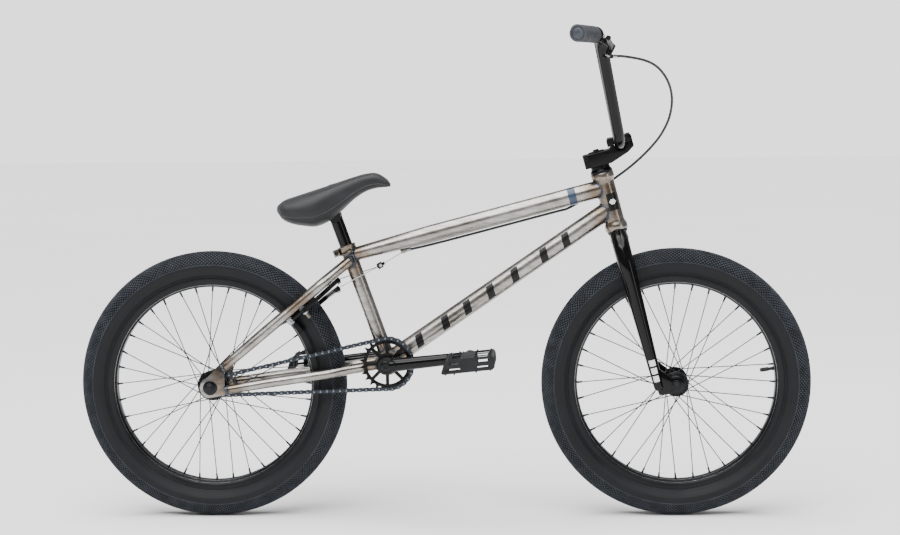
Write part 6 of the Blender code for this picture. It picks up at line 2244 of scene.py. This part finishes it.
    def build(self) -> None:
        """Builds the saddle and its post."""
        self.cover()
        self.trim()
        self.post()


# ---------------------------------------------------------------- studio


@dataclass
class Studio:
    """A pale floor, soft lamps and the camera."""

    camera_place: Vector = field(default_factory=lambda: Vector((0.2612, -4.5330, 0.9737)))
    yaw: float = math.radians(3.113)
    elevation: float = math.radians(6.032)
    roll: float = math.radians(-0.693)
    lens: float = 92.6
    room_light: float = 0.30
    backdrop_light: float = 2.0
    ceiling_light: float = 6.0

    def camera(self) -> None:
        """The camera, level with the bars and a little ahead of the middle."""
        back = Vector((math.sin(self.yaw) * math.cos(self.elevation), -math.cos(self.yaw) * math.cos(self.elevation),
                       math.sin(self.elevation)))
        x = Vector((math.cos(self.yaw), math.sin(self.yaw), 0))
        y = back.cross(x)
        right = x * math.cos(self.roll) + y * math.sin(self.roll)
        up = -x * math.sin(self.roll) + y * math.cos(self.roll)
        data = bpy.data.cameras.new("studio_camera")
        data.lens = self.lens
        data.sensor_width = 36.0
        data.clip_end = 60.0
        camera = bpy.data.objects.new("studio_camera", data)
        matrix = Matrix((right, up, back)).transposed().to_4x4()
        matrix.translation = self.camera_place
        camera.matrix_world = matrix
        bpy.context.scene.collection.objects.link(camera)
        bpy.context.scene.camera = camera

    def lamp(self, name: str, place: Vector, aim: Vector, size: tuple[float, float], power: float) -> None:
        """A rectangular soft lamp.

        Args:
            name: Its name.
            place: Where it stands.
            aim: What it points at.
            size: Its width and height in metres.
            power: Its power in watts.
        """
        data = bpy.data.lights.new(name, "AREA")
        data.shape = "RECTANGLE"
        data.size, data.size_y = size
        data.energy = power
        lamp = bpy.data.objects.new(name, data)
        lamp.location = place
        lamp.rotation_euler = (place - aim).to_track_quat("Z", "Y").to_euler()
        bpy.context.scene.collection.objects.link(lamp)

    def build(self) -> None:
        """Builds the floor, the lamps and the camera."""
        mesh = bpy.data.meshes.new("studio_floor")
        corners = [(-9, -9, 0), (9, -9, 0), (9, 12, 0), (-9, 12, 0)]
        mesh.from_pydata(corners, [], [(0, 1, 2, 3)])
        mesh.materials.append(FLOOR_PAINT.material())
        floor = bpy.data.objects.new("studio_floor", mesh)
        bpy.context.scene.collection.objects.link(floor)
        world = bpy.data.worlds.new("studio_light")
        world.use_nodes = True
        tree = world.node_tree
        background = tree.nodes["Background"]
        background.inputs["Color"].default_value = (1.0, 1.0, 1.0, 1.0)
        seen = add_node(tree, "LightPath").outputs["Is Camera Ray"]
        strength = add_node(
            tree, "MapRange", inputs={"Value": seen, "To Min": self.room_light, "To Max": self.backdrop_light}
        )
        tree.links.new(strength.outputs[0], background.inputs["Strength"])
        bpy.context.scene.world = world
        aim = Vector((0, 0, 0.45))
        self.lamp("key_lamp", Vector((-1.2, -2.6, 2.9)), aim, (3.0, 0.7), 42)
        self.lamp("side_lamp", Vector((3.2, -2.2, 1.2)), aim, (0.5, 2.2), 18)
        self.lamp("top_lamp", Vector((0.0, 0.2, 3.0)), aim, (4.2, 1.2), 30)
        self.lamp("back_lamp", Vector((0.4, 2.8, 1.6)), aim, (3.4, 0.8), 6)
        sky = bpy.data.lights.new("ceiling_glow", "SUN")
        sky.energy = self.ceiling_light
        sky.angle = math.radians(70)
        glow = bpy.data.objects.new("ceiling_glow", sky)
        glow.rotation_euler = Vector((-0.12, -0.28, 1.0)).to_track_quat("Z", "Y").to_euler()
        bpy.context.scene.collection.objects.link(glow)
        self.camera()


def main() -> None:
    """Builds the bike piece by piece."""
    logging.basicConfig(level=logging.INFO, format="%(name)s: %(message)s")
    Studio().build()
    RawFrame().build()
    Fork().build()
    Stem().build()
    bars = Handlebar()
    bars.build()
    brake = RearBrake()
    lever = BrakeLever(bars)
    lever.bracket(brake.route[0], brake.route[1])
    lever.blade()
    brake.build()
    drive = Drivetrain()
    drive.build()
    for side in Side:
        Pedal(side, drive).build()
    Saddle().build()
    flanges = {Side.RIGHT: (-0.0320, 0.0245), Side.LEFT: (0.0320, 0.0245)}
    Wheel("front", FRONT_AXLE, flanges, (-0.0497, 0.0497), 0.0155, 0.0051, math.radians(7.7)).build()
    flanges = {Side.RIGHT: (-0.0270, 0.0300), Side.LEFT: (0.0340, 0.0245)}
    Wheel("rear", REAR_AXLE, flanges, (-0.0355, 0.0547), 0.0175, 0.0073, math.radians(5.5)).build()
    LOG.info("all pieces made")


if __name__ == "__main__":
    main()
